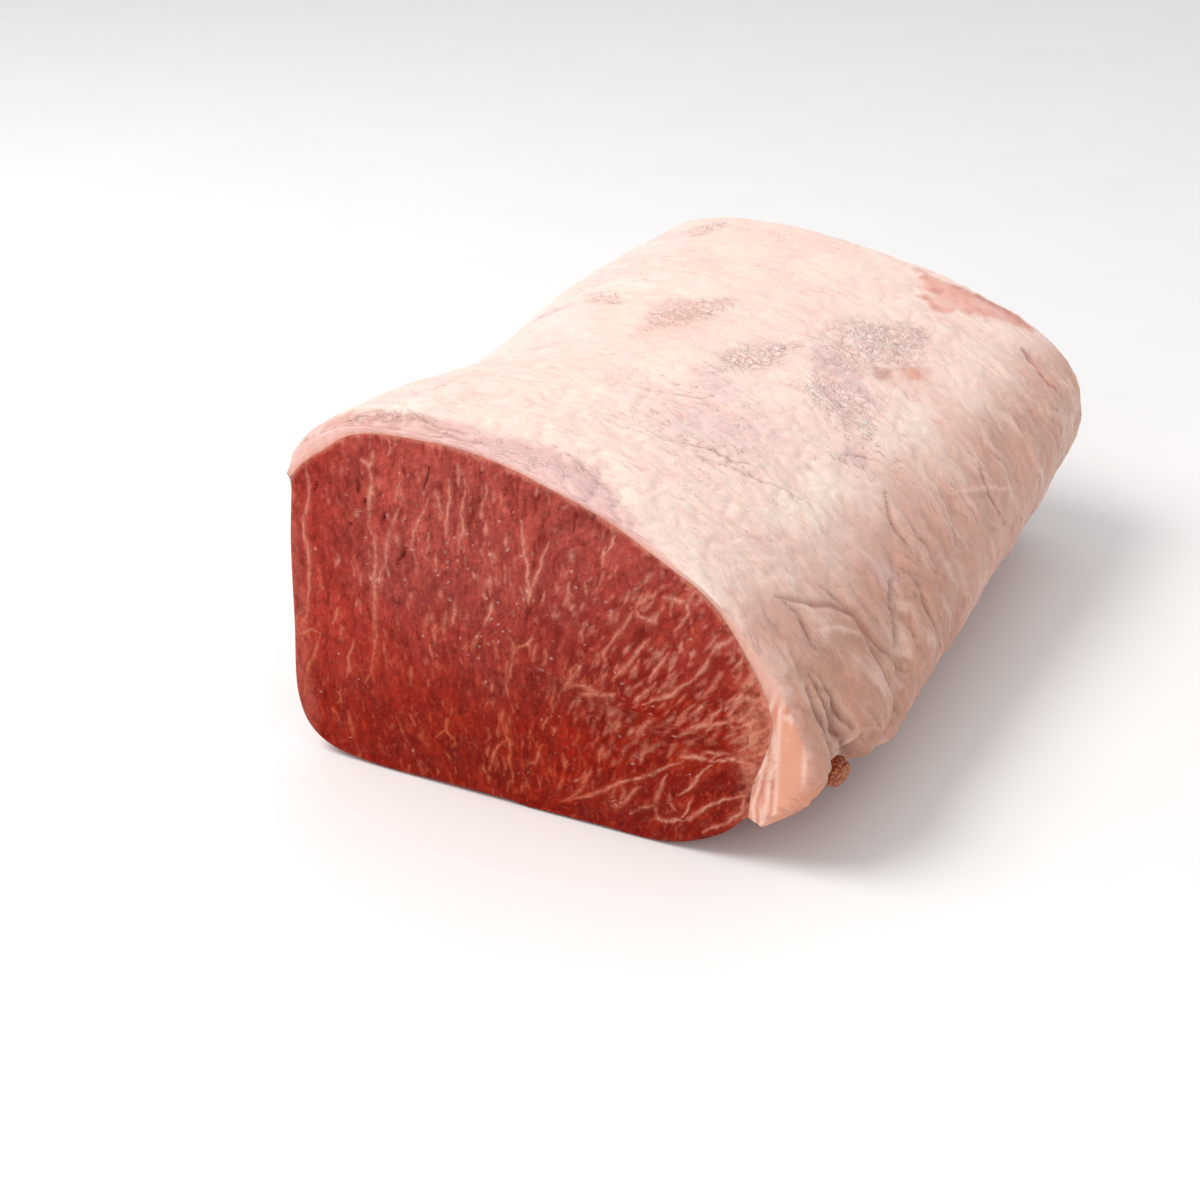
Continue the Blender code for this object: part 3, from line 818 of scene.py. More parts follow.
def glints(seed, count):
    """Painted highlights: tiny pale glint specks on the wet cut, most of them in a band across its middle.
    """
    draw = np.random.default_rng(seed)
    items = []
    for _ in range(count):
        middle = draw.random() < 0.6
        w = draw.normal(42.0, 13.0) if middle else draw.uniform(2.0, 92.0)
        z = draw.normal(42.0, 8.0) - 0.25 * (w - 42.0) if middle else draw.uniform(4.0, 64.0)
        half = draw.uniform(0.11, 0.20)
        end = (w + draw.uniform(-0.2, 0.4), z + draw.uniform(0.1, 0.5))
        items.append((half, ((w, z), end)))
    return items


def cut_look(w, z, seed, seams):
    """The cut's colour and relief at each (w, z)."""
    at = flat(w, z)
    upright = flat(w - fibre_lean(w, z) * (z - 33.0), z)
    streaks = layered(upright, (1.7, 7.0, 1.0), seed + 1)
    threads = layered(at, 1.15, seed + 2, 2)
    blobs = layered(upright, (1.6, 3.8, 1.0), seed + 15)
    grit = noise(at, 0.6, seed + 9)
    clouds = layered(at, 13.0, seed + 3)
    spots = layered(at, 3.2, seed + 4)
    # low: darker and warmer towards the bottom, partly painted warm light bounced up from below
    low = ease((54.0 - z + 0.4 * np.clip(w - 45.0, 0.0, 30.0) + 8.0 * clouds) / 44.0)
    below = ease((np.interp(w, SEAM_W, SEAM_Z) - z) / 2.0)
    left = ease((28.0 - w + 6.0 * clouds) / 22.0) * ease((z - 8.0) / 20.0)
    right = ease((w - 30.0) / 50.0) * ease((78.0 - z) / 50.0) * (1.0 - below)
    base = layers_over(
        plain(LEAN_HIGH, len(w)), (LEAN_LOW, low), (LEAN_LEFT, 0.8 * left), (SIDE_RED, 0.75 * below),
        (PALE_HIGH, 0.40 * ease((4.6 - w + 1.2 * spots) / 3.0)),
    )
    pale = mix(plain(PALE_HIGH, len(w)), PALE_LOW, low)
    marbling = layers_over(
        plain(MARBLING_HIGH, len(w)), (MARBLING_LOW, low), (MARBLING_RIGHT, 0.8 * ease((w - 50.0) / 30.0)),
    )
    tone = 0.22 * clouds + 0.24 * streaks + 0.28 * spots + 0.22 * threads + 0.06 * grit - 0.03
    colour = base * np.exp(tone)[:, None]
    flecked = ease((blobs - 0.42 + 0.36 * right) / 0.42) * (0.45 + 0.48 * right) * (1.0 - 0.75 * below)
    if seed == 0:
        colour = mix(colour, LEAN_DARK, 0.34 * hump(w, 60.0, 14.0) * hump(z, 37.0, 10.0))
    colour = layers_over(
        colour, (pale, 0.40 * ease((streaks + 0.7 * spots - 0.10) / 0.8)),
        (LEAN_DARK, 0.42 * ease((-0.9 * blobs - 0.5 * spots - 0.12) / 0.6)),
        (0.60 * pale + 0.40 * marbling, flecked),
    )
    wander = np.stack([layered(at, 3.0, seed + 5), layered(at, 3.0, seed + 6)], axis=1)
    spot = np.stack([w, z], axis=1) + 0.55 * wander
    feather = np.clip(0.60 + 0.85 * noise(upright, (0.9, 1.9, 1.0), seed + 7) + 0.2 * grit, 0.0, 1.2)
    seam = strokes(spot, widened(seams, SEAM_TIMES)) * np.clip(feather + 0.25, 0.0, 1.0)
    halo = strokes(spot, widened(seams, HALO_TIMES))
    large = strokes(spot, flecks(seed + 11, *LARGE_FLECKS)) * feather
    small = strokes(spot, flecks(seed + 12, *SMALL_FLECKS)) * feather
    slit = strokes(spot, SLITS) if seed == 0 else np.zeros(len(w))
    dark = strokes(spot, flecks(seed + 13, *DARK_FLECKS))
    shine = strokes(spot, glints(seed + 14, GLINT_COUNT))
    colour = layers_over(
        colour, (pale, 0.42 * halo), (LEAN_DARK, 0.50 * dark * (1.0 - halo)),
        (marbling, 0.46 * small * (1.0 - 0.6 * below)), (marbling, 0.70 * large * (1.0 - 0.9 * below)),
        (marbling, 0.92 * seam),
    )
    if seed == 0:
        film = ease((w - 87.4 + 1.8 * spots) / 4.4) * hump(z, 24.0, 15.0) ** 0.5
        colour = mix(colour, TISSUE, film * np.clip(0.56 + 0.55 * blobs + 0.35 * threads, 0.0, 0.85))
    # Painted highlight: the glint specks are lightened towards GLINT
    colour = layers_over(colour, (SLIT_RED, 0.9 * slit), (GLINT, 0.55 * shine))
    height = 0.35 * noise(at, 14.0, seed + 8) + 0.14 * streaks + 0.05 * threads + 0.10 * spots + 0.08 * blobs
    height += 0.12 * seam + 0.06 * large + 0.08 * shine - 0.5 * slit - 0.14 * dark - 0.15
    return colour, height


# The eye and the side muscle

FACE_CELLS = {"eye_of_loin": (296, 210), "side_muscle": (120, 80)}
MIDDLES = {"eye_of_loin": (44.6, 33.1), "side_muscle": (79.2, 10.1)}
RINGS = {"eye_of_loin": eye_ring, "side_muscle": side_ring}
BULGES = {"eye_of_loin": FACE_BULGE, "side_muscle": SIDE_FACE_BULGE}
SIDE_STATIONS = {"eye_of_loin": 200, "side_muscle": 160}
BARE_ROUND, JOINED_ROUND = 1.1, 0.12
OVERLAP = 0.06
RIM_ROWS = 5
SKIRT = 2.2
TUCK = 0.35
RELIEF_FADE = 1.6
SIDE_RELIEF_FADE = 5.0

FEATHER = srgb(214, 134, 114)
SIDE_BASE = srgb(160, 58, 48)
SIDE_DEEP = srgb(138, 32, 22)
SILVERSKIN = srgb(196, 132, 120)
SIDE_FAT = srgb(226, 176, 158)


def disc(cells):
    """Points of a round disc from a square grid, with cells of like area: (n + 1, n + 1, 2)."""
    side = np.linspace(-1.0, 1.0, cells + 1)
    x, y = np.meshgrid(side, side)
    wide = np.abs(x) > np.abs(y)
    radius = np.where(wide, x, y)
    safe = np.where(radius == 0.0, 1.0, radius)
    turn = np.where(wide, 0.25 * np.pi * y / safe, 0.5 * np.pi - 0.25 * np.pi * x / safe)
    return np.stack([radius * np.cos(turn), radius * np.sin(turn)], axis=2)


def bareness(name, count):
    """1 where a muscle's ring of count points is bare, and 0 where it meets the fat or the other muscle."""
    bare = np.zeros(count)
    if name == "eye_of_loin":
        bare[SEAM_INDEX + SEAM_POINTS :] = 1.0
    else:
        start = FAT_POINTS - SEAM_INDEX
        bare[start : start + SIDE_BARE_POINTS - 2] = 1.0
    window = np.ones(5) / 5.0
    return np.convolve(np.concatenate([bare[-2:], bare, bare[:2]]), window, "valid")


def cut_face(name, end):
    """The cut face of a muscle at one end, its rim, and a skirt tucked under the side.

    The rim is round where the muscle is bare, and meets its neighbour flush elsewhere.
    """
    middle = np.array(MIDDLES[name])
    ring = RINGS[name](end, stride=1)
    turn = np.arctan2(ring[:, 1] - middle[1], ring[:, 0] - middle[0])
    order = np.argsort(turn)

    def around(values, directions):
        return np.interp(directions, turn[order], values[order], period=2.0 * np.pi)

    bare = bareness(name, len(ring))
    rounding = JOINED_ROUND + (BARE_ROUND - JOINED_ROUND) * bare
    reach = np.linalg.norm(ring - middle, axis=1) + OVERLAP * (1.0 - bare)
    unit = disc(FACE_CELLS[name][0 if end == 0.0 else 1])
    bearing = np.arctan2(unit[..., 1], unit[..., 0])
    limit = around(reach - rounding, bearing)
    away = np.linalg.norm(unit, axis=2) * limit
    spot = middle + np.stack([np.cos(bearing), np.sin(bearing)], axis=2) * away[..., None]
    share = away / around(reach, bearing)
    bulge = BULGES[name] * (1.0 - share.ravel() ** 2)
    face = to_world(end, spot.reshape(-1, 2), bulge).reshape(*spot.shape[:2], 3)
    patches = Patches()
    patches.sheet(face, np.concatenate([spot, (limit - away)[..., None]], axis=2))
    last = unit.shape[0] - 1
    border = [*((0, i) for i in range(last)), *((i, last) for i in range(last)),
              *((last, last - i) for i in range(last)), *((last - i, 0) for i in range(last + 1))]
    border_rows, border_columns = np.array(border).T
    edge = bearing[border_rows, border_columns]
    direction = np.stack([np.cos(edge), np.sin(edge)], axis=1)
    edge_reach, edge_round = around(reach, edge), around(rounding, edge)
    edge_bulge = BULGES[name] * (1.0 - (1.0 - edge_round / edge_reach) ** 2)
    inner = MM if end == 0.0 else -MM
    rows, row_marks = [face[border_rows, border_columns]], []
    for step in range(RIM_ROWS + 2):
        lean = 0.5 * np.pi * min(step / RIM_ROWS, 1.0)
        tucked = step > RIM_ROWS
        out = edge_reach - edge_round * (1.0 - np.sin(lean)) - TUCK * tucked
        at = middle + direction * out[:, None]
        if step:
            row = to_world(end, at, edge_bulge * (1.0 - np.sin(lean)))
            row[:, 1] += inner * (edge_round * (1.0 - np.cos(lean)) + SKIRT * tucked)
            rows.append(row)
        row_marks.append(np.concatenate([at, np.zeros((len(at), 1))], axis=1))
    patches.sheet(np.array(rows), np.array(row_marks))
    label, seed, seams = ("front", 0, FRONT_SEAMS) if end == 0.0 else ("far", 60, far_seams())
    obj, marks = patches.build(f"{name}_{label}_cut")
    w, z, border = marks.T
    colour, height = cut_look(w, z, seed, seams)
    joined = 1.0 - around(bare, np.arctan2(z - middle[1], w - middle[0]))
    feather = ease((0.9 + 1.1 * layered(flat(w, z), 2.2, seed + 16) - border) / 1.1)
    joined = joined * ease((z - np.interp(w, SEAM_W, SEAM_Z) - 2.0) / 3.0)
    colour = mix(colour, FEATHER, 0.62 * feather * joined)
    push_out(obj, height * ease(border / RELIEF_FADE))
    paint(obj, colour)
    finish_piece(obj, name)


def far_seams():
    """Seams for the far cut, drawn by a rule: long wavering strokes along the fibres."""
    draw = np.random.default_rng(41)
    items = []
    for _ in range(46):
        w, z = draw.uniform(3.0, 92.0), draw.uniform(6.0, 60.0)
        line = [(w, z)]
        for _ in range(draw.integers(2, 6)):
            z -= draw.uniform(1.8, 4.4)
            w -= (fibre_lean(w, z) + draw.normal(0.0, 0.22)) * 3.0
            line.append((w, z))
        items.append((draw.uniform(0.2, 0.42), line))
    seam = blend(SEAM_FRONT, SEAM_BACK, LENGTH)
    return [*items, (0.45, seam)]


def muscle_side(name):
    """The lengthwise surface of a muscle, between its two cuts."""
    ls = np.linspace(BARE_ROUND, LENGTH - BARE_ROUND, SIDE_STATIONS[name])
    rings = [np.vstack([ring, ring[:1]]) for ring in (RINGS[name](l) for l in ls)]
    rows = np.array([to_world(l, ring) for l, ring in zip(ls, rings)])
    marks = np.array([np.column_stack([ring, np.full(len(ring), l)]) for l, ring in zip(ls, rings)])
    patches = Patches()
    patches.sheet(rows, marks)
    obj, marks = patches.build(f"{name}_side")
    w, z, l = marks.T
    at = np.stack([w, l, z], axis=1)
    bent = at + 1.6 * np.stack([noise(at, (9.0, 20.0, 9.0), seed) for seed in (27, 28, 29)], axis=1)
    grain = layered(bent, (1.8, 17.0, 1.8), 21)
    threads = layered(bent, (0.9, 9.0, 0.9), 22, 2)
    clouds = layered(at, 18.0, 23)
    veil = ease(0.5 + 0.9 * layered(bent, (10.0, 26.0, 10.0), 24) + 0.5 * grain)
    lines = (1.0 - np.abs(noise(bent, (6.5, 60.0, 6.5), 25))) ** 16
    specks = ease((layered(bent, (1.8, 8.0, 1.8), 26) - 0.34) / 0.35)
    colour = mix(plain(SIDE_BASE, len(w)), SIDE_DEEP, 0.5 + 0.8 * clouds)
    colour = colour * np.exp(0.16 * grain + 0.16 * threads)[:, None]
    colour = layers_over(colour, (SILVERSKIN, 0.34 * veil), (SIDE_FAT, 0.30 * lines + 0.34 * specks * veil))
    inside = ease((np.minimum(l, LENGTH - l) - BARE_ROUND) / SIDE_RELIEF_FADE)
    push_out(obj, inside * (0.30 * noise(at, (7.0, 22.0, 7.0), 25) + 0.12 * grain + 0.08 * lines - 0.12))
    paint(obj, colour)
    finish_piece(obj, name)


SLOTS = {"eye_of_loin": "lean", "side_muscle": "dark_lean", "fat_cap": "fat", "gland": "gland"}


def finish_piece(obj, node):
    """Give a piece its material, and its place among the nodes."""
    obj.data.materials.append(MATERIALS[SLOTS[node]])
    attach(obj, "root")
    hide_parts(node)


# The fat cap

FAT_CREAM = srgb(251, 223, 212)
FAT_ROSY = srgb(246, 207, 199)
# FAT_FLANK and FAT_LOW: the fat's own tone with painted shade on the flank, which turns from the light
FAT_FLANK = srgb(214, 167, 151)
FAT_LOW = srgb(196, 143, 123)
FAT_WHITE = srgb(254, 236, 222)
# FAT_SHADOW is painted shade, laid in the sunk hollows of the flank
FAT_SHADOW = srgb(186, 134, 120)
FAT_BAND = srgb(225, 184, 182)
LILAC = srgb(232, 196, 196)
GREYISH = srgb(226, 192, 186)
# CREASE_GREY, CREASE_BROWN and LOBE_BROWN darken pressed creases and folds: their own tone and painted shade
CREASE_GREY = srgb(160, 118, 114)
CREASE_ROSY = srgb(226, 160, 138)
CREASE_BROWN = srgb(168, 104, 84)
BRAWN = srgb(188, 134, 112)
RED_PATCH = srgb(226, 146, 130)
RED_DEEP = srgb(168, 82, 66)
ORANGE = srgb(232, 150, 112)
PEACH = srgb(226, 158, 130)
PEACH_DEEP = srgb(222, 146, 112)
TISSUE = srgb(214, 138, 112)
TISSUE_RED = srgb(158, 62, 42)
PALE_LIP = srgb(247, 211, 194)
CREST = srgb(198, 144, 130)
CUT_LIP = srgb(226, 178, 160)
ROSE = srgb(232, 182, 168)
LOBE_BROWN = srgb(148, 84, 62)

# Marks on the fat: half width, then l, s of each point. s runs along the fat line, from its left edge
THIN_CREASES = traced(
    (0.34, 9.5, 66.2, 8.5, 71.1, 7.5, 74.5, 5.0, 80.3, 4.5, 83.2),
    (0.30, 3.0, 38.0, 2.5, 46.3, 3.5, 52.0),
    (0.30, 1.5, 40.0, 1.0, 48.2, 1.5, 55.4),
    (0.45, 9.0, 35.1, 11.5, 35.5),
    (0.32, 19.5, 30.2, 24.5, 31.7),
    (0.40, 48.0, 62.8, 49.5, 68.0, 52.5, 74.0, 58.5, 76.3),
    (0.38, 33.0, 80.3, 35.5, 86.0, 36.5, 90.9, 40.0, 93.0),
    (0.30, 31.0, 84.6, 34.0, 90.5, 36.0, 96.8, 40.0, 102.6, 41.5, 108.0),
    (0.36, 59.5, 105.5, 64.5, 106.6, 68.0, 110.0, 70.5, 113.8),
)
ROSY_CREASES = traced(
    (0.45, 41.5, 67.7, 42.5, 74.0, 41.0, 79.4, 39.0, 82.3),
    (0.38, 23.5, 101.7, 22.0, 104.6, 21.0, 107.5),
    (0.34, 20.5, 96.8, 20.5, 100.3),
    (0.45, 39.5, 105.5, 35.5, 108.5, 33.0, 112.9, 32.0, 117.2),
    (0.45, 72.5, 111.4, 72.0, 117.2, 70.0, 123.5),
    (0.42, 88.5, 118.6, 84.5, 122.0, 82.5, 128.5),
    (0.35, 57.5, 137.2, 65.5, 140.0, 73.5, 144.9),
)
DEEP_FOLDS = traced(
    (0.75, 13.0, 118.6, 18.5, 121.7, 25.5, 125.1, 29.5, 129.4, 30.0, 133.7, 30.5, 138.2, 35.0, 144.0,
     36.0, 147.0),
    (0.65, 26.0, 120.6, 28.5, 126.0, 29.0, 131.4, 28.0, 137.7, 27.5, 144.0, 29.5, 151.4, 29.0, 156.2),
    (0.50, 14.0, 120.2, 15.0, 123.5, 14.0, 128.5, 13.0, 132.3),
    (0.60, 48.0, 130.9, 42.5, 133.7, 40.5, 138.6, 38.0, 141.5),
    (0.60, 53.5, 135.7, 52.0, 141.1, 51.5, 146.9, 51.5, 151.0),
    (0.50, 63.0, 118.0, 58.0, 124.0, 57.0, 131.0),
    (0.45, 97.0, 131.0, 94.0, 138.0, 95.0, 146.0),
)
LOBE_FOLDS = traced(
    (0.80, 4.6, 133.5, 4.3, 137.5, 4.6, 142.0, 5.6, 150.0, 6.6, 158.0, 7.2, 166.0),
    (0.65, 7.4, 133.5, 6.8, 139.5, 7.6, 145.0, 8.8, 152.0, 9.6, 159.0),
    (0.55, 10.0, 137.7, 9.4, 144.0, 10.8, 151.0),
)
PALE_RIDGES = traced(
    (0.70, 78.5, 125.5, 77.0, 130.0, 75.0, 133.7, 75.5, 138.6),
    (0.50, 81.5, 130.0, 92.5, 135.2, 105.5, 143.1),
    (0.60, 16.0, 128.0, 22.0, 129.5, 26.5, 133.0),
)
SLIT = traced(
    (0.65, 148.5, 122.6, 148.5, 128.0, 144.5, 131.8, 146.0, 135.7),
)
# Nets of fine crinkles, and the places where thin lines run close together
NETS = traced(
    (4.0, 91.5, 26.3, 86.5, 37.4),
    (6.6, 76.0, 49.0, 89.0, 53.0, 101.0, 60.5),
    (6.0, 66.5, 70.6, 79.0, 75.0, 91.0, 80.2),
    (9.5, 76.0, 90.0, 80.0, 98.0, 88.0, 103.0),
    (11.5, 90.0, 90.0, 108.0, 93.0, 126.0, 101.0),
    (5.2, 141.5, 31.5, 148.0, 31.0, 155.5, 32.5),
    (3.6, 81.5, 14.6, 85.0, 22.3),
    (2.2, 1.5, 22.3, 3.4, 29.7, 4.4, 42.3),
)
LINED = traced(
    (14.0, 30.0, 66.0, 36.0, 84.0, 40.0, 100.0),
    (12.0, 52.0, 60.0, 58.0, 80.0),
    (12.0, 56.0, 100.0, 84.0, 114.0),
    (9.0, 98.0, 24.0, 110.0, 34.0),
)
LILAC_FIELDS = traced(
    (6.0, 63.5, 68.6, 58.0, 80.8),
    (9.5, 34.0, 70.0, 44.5, 80.0, 52.0, 92.0),
    (7.0, 92.0, 86.0, 86.0, 102.0),
    (4.6, 63.0, 108.5, 68.0, 107.5),
    (4.0, 44.0, 127.0, 48.0, 131.0),
)
ROSE_FIELDS = traced(
    (8.0, 72.0, 50.0, 98.0, 58.0),
    (5.0, 99.0, 103.0, 113.0, 108.0),
)
GREY_FIELD = traced(
    (8.0, 99.0, 86.6, 114.0, 91.9, 126.5, 101.0),
)
RED_FIELD = traced(
    (7.2, 158.0, 89.0, 153.0, 96.0, 154.0, 104.0, 158.0, 112.0, 159.5, 120.0),
    (5.6, 150.0, 98.0, 141.5, 99.5),
)
BROWN_FIELDS = traced(
    (4.2, 25.0, 129.5, 28.0, 134.0, 32.0, 141.0),
    (2.8, 3.6, 129.5, 6.0, 137.0),
    (2.2, 5.6, 140.0, 7.0, 146.0),
    (2.4, 97.0, 100.2, 103.5, 101.7),
)
ORANGE_FIELD = traced(
    (2.6, 104.5, 105.6, 110.0, 106.4),
)
CREAM_FIELDS = traced(
    (6.0, 30.0, 104.0, 44.0, 108.0),
    (5.0, 46.0, 104.0, 54.0, 110.0),
    (5.0, 86.0, 112.0, 98.0, 114.0),
)

# The band along the cut: the fat's own lavender tone with painted shade on the edge rolling to the cut
# How far back the lavender band along the cut reaches at some places on the fat line
BAND_AT = (0.0, 20.0, 30.0, 45.0, 55.0, 66.0, 75.0, 83.0, 90.0, 104.0, 180.0)
BAND_REACH = (1.5, 4.6, 6.0, 6.2, 7.5, 10.5, 11.0, 7.2, 3.6, 1.6, 1.0)

LOBE_TOP = 31.0
PANEL_FROM, PANEL_TO = 95.6, 100.3

# A dent beside the front lobe, ahead of the notch: its l and half width, its depth, and where it starts
# and eases off along the fat line
DENT_AT, DENT_HALF, DENT_DEPTH = 7.0, 3.0, 2.6
DENT_START, DENT_END = 139.0, 160.0

# Seeded creases: seed, how many, the range of s, of their lengths and of their half widths
TOP_CREASES = (71, 420, (4.0, 116.0), (2.5, 11.0), (0.26, 0.50))
FLANK_CREASES = (72, 300, (106.0, 178.0), (4.0, 18.0), (0.35, 0.80))

# Each kind of traced mark, how many times its half width it is drawn, and its strokes
FOLD_KINDS = (
    ("thin", 1.0, THIN_CREASES), ("rosy", 1.0, ROSY_CREASES), ("ridge", 1.0, PALE_RIDGES),
    ("slit", 1.0, SLIT), ("deep", 1.6, DEEP_FOLDS), ("lobe", 1.2, LOBE_FOLDS),
    ("beside", 2.6, (*DEEP_FOLDS, *LOBE_FOLDS)),
)

# How far each kind of mark stands out of the fat
FOLD_RISE = {"beside": 0.40, "deep": -1.1, "lobe": -1.5, "ridge": 0.35, "slit": -0.9, "thin": -0.28,
             "rosy": -0.22, "small": -0.16}


def fat_stations():
    """The l of each of the fat's sections, closer where the cut edges roll."""
    close = 1.6 * ROLL_LENGTH * (1.0 - np.cos(np.linspace(0.0, 0.5 * np.pi, 24)))
    middle = np.linspace(close[-1], LENGTH - close[-1], FAT_STATIONS - 46)[1:-1]
    return np.concatenate([close, middle, LENGTH - close[::-1]])


def fat_cap():
    """The fat's outer and inner sheets, its two long edges and its two cut faces."""
    ls = fat_stations()
    lines = [(l, *fat_lines(l)) for l in ls]
    share = np.linspace(0.0, 1.0, FAT_POINTS)
    steps = np.linspace(0.0, 1.0, FAT_EDGE_POINTS)

    def marks(l, shares, depth):
        """l, share of the fat line, and how far inside the outer line."""
        return np.stack(np.broadcast_arrays(l, shares, depth), axis=-1).astype(float)

    outside = np.array([to_world(l, outer) for l, outer, _ in lines])
    inside = np.array([to_world(l, inner) for l, _, inner in lines])
    patches = Patches()
    patches.sheet(outside, marks(ls[:, None], share[None], 0.0))
    coarse = inside[1:-1, ::CORE_STRIDE]
    patches.sheet(coarse, marks(ls[1:-1, None], share[None, ::CORE_STRIDE], 1.0))
    for column in (0, -1):
        part = steps[None, :, None]
        edge = outside[:, column, None] * (1.0 - part) + inside[:, column, None] * part
        patches.sheet(edge, marks(ls[:, None], share[column], steps[None]))
    for row, near, cut_rows in ((0, 1, FRONT_CUT_ROWS), (-1, -2, FAT_EDGE_POINTS)):
        steps = np.linspace(0.0, 1.0, cut_rows)
        part = steps[:, None, None]
        cap = outside[row][None] * (1.0 - part) + inside[row][None] * part
        patches.sheet(cap, marks(ls[row], share[None], steps[:, None]))
        wide = inside[near, ::CORE_STRIDE]
        triangles = []
        for k in range(len(wide) - 1):
            a, b = FAT_POINTS + k, FAT_POINTS + k + 1
            for i in range(CORE_STRIDE):
                first = k * CORE_STRIDE + i
                triangles.append((first, first + 1, a if i < CORE_STRIDE // 2 else b))
            triangles.append((k * CORE_STRIDE + CORE_STRIDE // 2, b, a))
        fan_marks = np.vstack([marks(ls[row], share, 1.0), marks(ls[near], share[::CORE_STRIDE], 1.0)])
        patches.add(np.vstack([inside[row], wide]), fan_marks, triangles=triangles)
    obj, found = patches.build("fat_cap_skin")
    l, share, depth = found.T
    paint_fat(obj, l, share * FAT_LINE_LENGTH, depth)
    finish_piece(obj, "fat_cap")


def small_creases(seed, count, s_range, length, half):
    """Seeded creases that run along the fat line, a little bent."""
    draw = np.random.default_rng(seed)
    items = []
    for _ in range(count):
        l, s = draw.uniform(1.0, LENGTH - 1.0), draw.uniform(*s_range)
        reach, slope = 0.5 * draw.uniform(*length), draw.normal(0.10, 0.22)
        bend = draw.normal(0.0, 0.14) * reach
        tip = slope * reach
        line = ((l - tip, s - reach), (l + bend, s - 0.3 * reach), (l + 0.7 * bend, s + 0.4 * reach),
                (l + tip, s + reach))
        items.append((draw.uniform(*half), line))
    return items


def fat_colour(l, s, noises):
    """The colour of the fat's outside, and how netted, lined and striped it is."""
    spot, cloud, ragged, mottle, folds = noises
    # flank and low darken the side and its lower part: partly painted shade where they turn from the light
    flank = ease((s - 106.5 - 0.09 * (l - 40.0) + 5.0 * cloud) / 22.0)
    # puffed lumps are lightened and sunk hollows darkened: painted highlight and painted shade that follow
    # the relief
    puffed, sunk = ease((mottle - 0.05) / 0.6), ease((-mottle - 0.05) / 0.6)
    low = ease((s - 122.0 + 5.0 * cloud) / 22.0) * ease((92.0 - l) / 40.0)
    colour = layers_over(
        plain(FAT_CREAM, len(l)), (FAT_ROSY, 0.55 * ease(0.5 + 0.9 * cloud)), (FAT_WHITE, 0.55 * puffed),
        (FAT_ROSY, 0.35 * sunk), (FAT_FLANK, flank), (FAT_LOW, low), (FAT_CREAM, 0.42 * flank * puffed),
        (FAT_SHADOW, 0.38 * flank * sunk),
    )
    net = strokes(spot, NETS)
    net = ease(1.25 * net - 0.10 + 0.9 * ragged * net)
    colour = layers_over(
        colour, (LILAC, 0.60 * strokes(spot, LILAC_FIELDS) + 0.20 * net),
        (GREYISH, 0.26 * strokes(spot, GREY_FIELD) * ease(0.8 + 0.8 * ragged)),
        (FAT_WHITE, 0.6 * strokes(spot, CREAM_FIELDS)),
    )
    band = ease((np.interp(s, BAND_AT, BAND_REACH) - l + 2.4 * cloud + 1.6 * ragged) / 5.0)
    crest = hump(s, 28.0, 22.0) * ease((6.5 - l) / 4.0)
    red = ease(2.4 * (strokes(spot + 1.2 * ragged[:, None], RED_FIELD) - 0.30) + 0.5 * ragged)
    redder = red * (0.30 * ease((ragged - 0.1) / 0.5) + 0.50 * ease((l - 156.0) / 5.0))
    unfolded = 1.0 - np.maximum(folds["deep"], folds["lobe"])
    # FAT_BAND over the band along the cut: lavender tone with painted shade on the rolled edge
    colour = layers_over(
        colour, (FAT_BAND, 0.85 * band), (CREST, 0.80 * crest * ease(0.75 + 0.8 * ragged)),
        (ROSE, 0.55 * strokes(spot, ROSE_FIELDS)), (RED_PATCH, 0.72 * red * ease(0.75 + 0.6 * mottle)),
        (RED_DEEP, redder), (BRAWN, 0.62 * strokes(spot, BROWN_FIELDS) * ease(0.9 + ragged)),
        (ORANGE, 0.70 * strokes(spot, ORANGE_FIELD) * ease(0.9 + ragged)),
        # grey and brown creases and folds: partly painted shade in them; the rosy ones are the fat's own
        # tint
        (CREASE_ROSY, 0.50 * folds["rosy"] + 0.30 * folds["small"]), (CREASE_GREY, 0.50 * folds["thin"]),
        (CREASE_BROWN, 0.62 * folds["deep"]), (LOBE_BROWN, 0.80 * folds["lobe"]),
        (FAT_WHITE, 0.30 * folds["beside"] * unfolded), (RED_DEEP, 0.75 * folds["slit"]),
        (PALE_LIP, 0.55 * folds["ridge"]),
    )
    lined = np.clip(0.25 + 0.8 * strokes(spot, LINED) + 0.3 * cloud + 0.4 * band - 0.3 * flank, 0.0, 1.0)
    striped = np.clip(0.08 + 0.90 * flank + 0.80 * band, 0.0, 1.0)
    clear = 1.0 - 0.8 * red
    return colour, np.stack([(net + 0.10) * clear, lined * clear, striped * clear], axis=1)


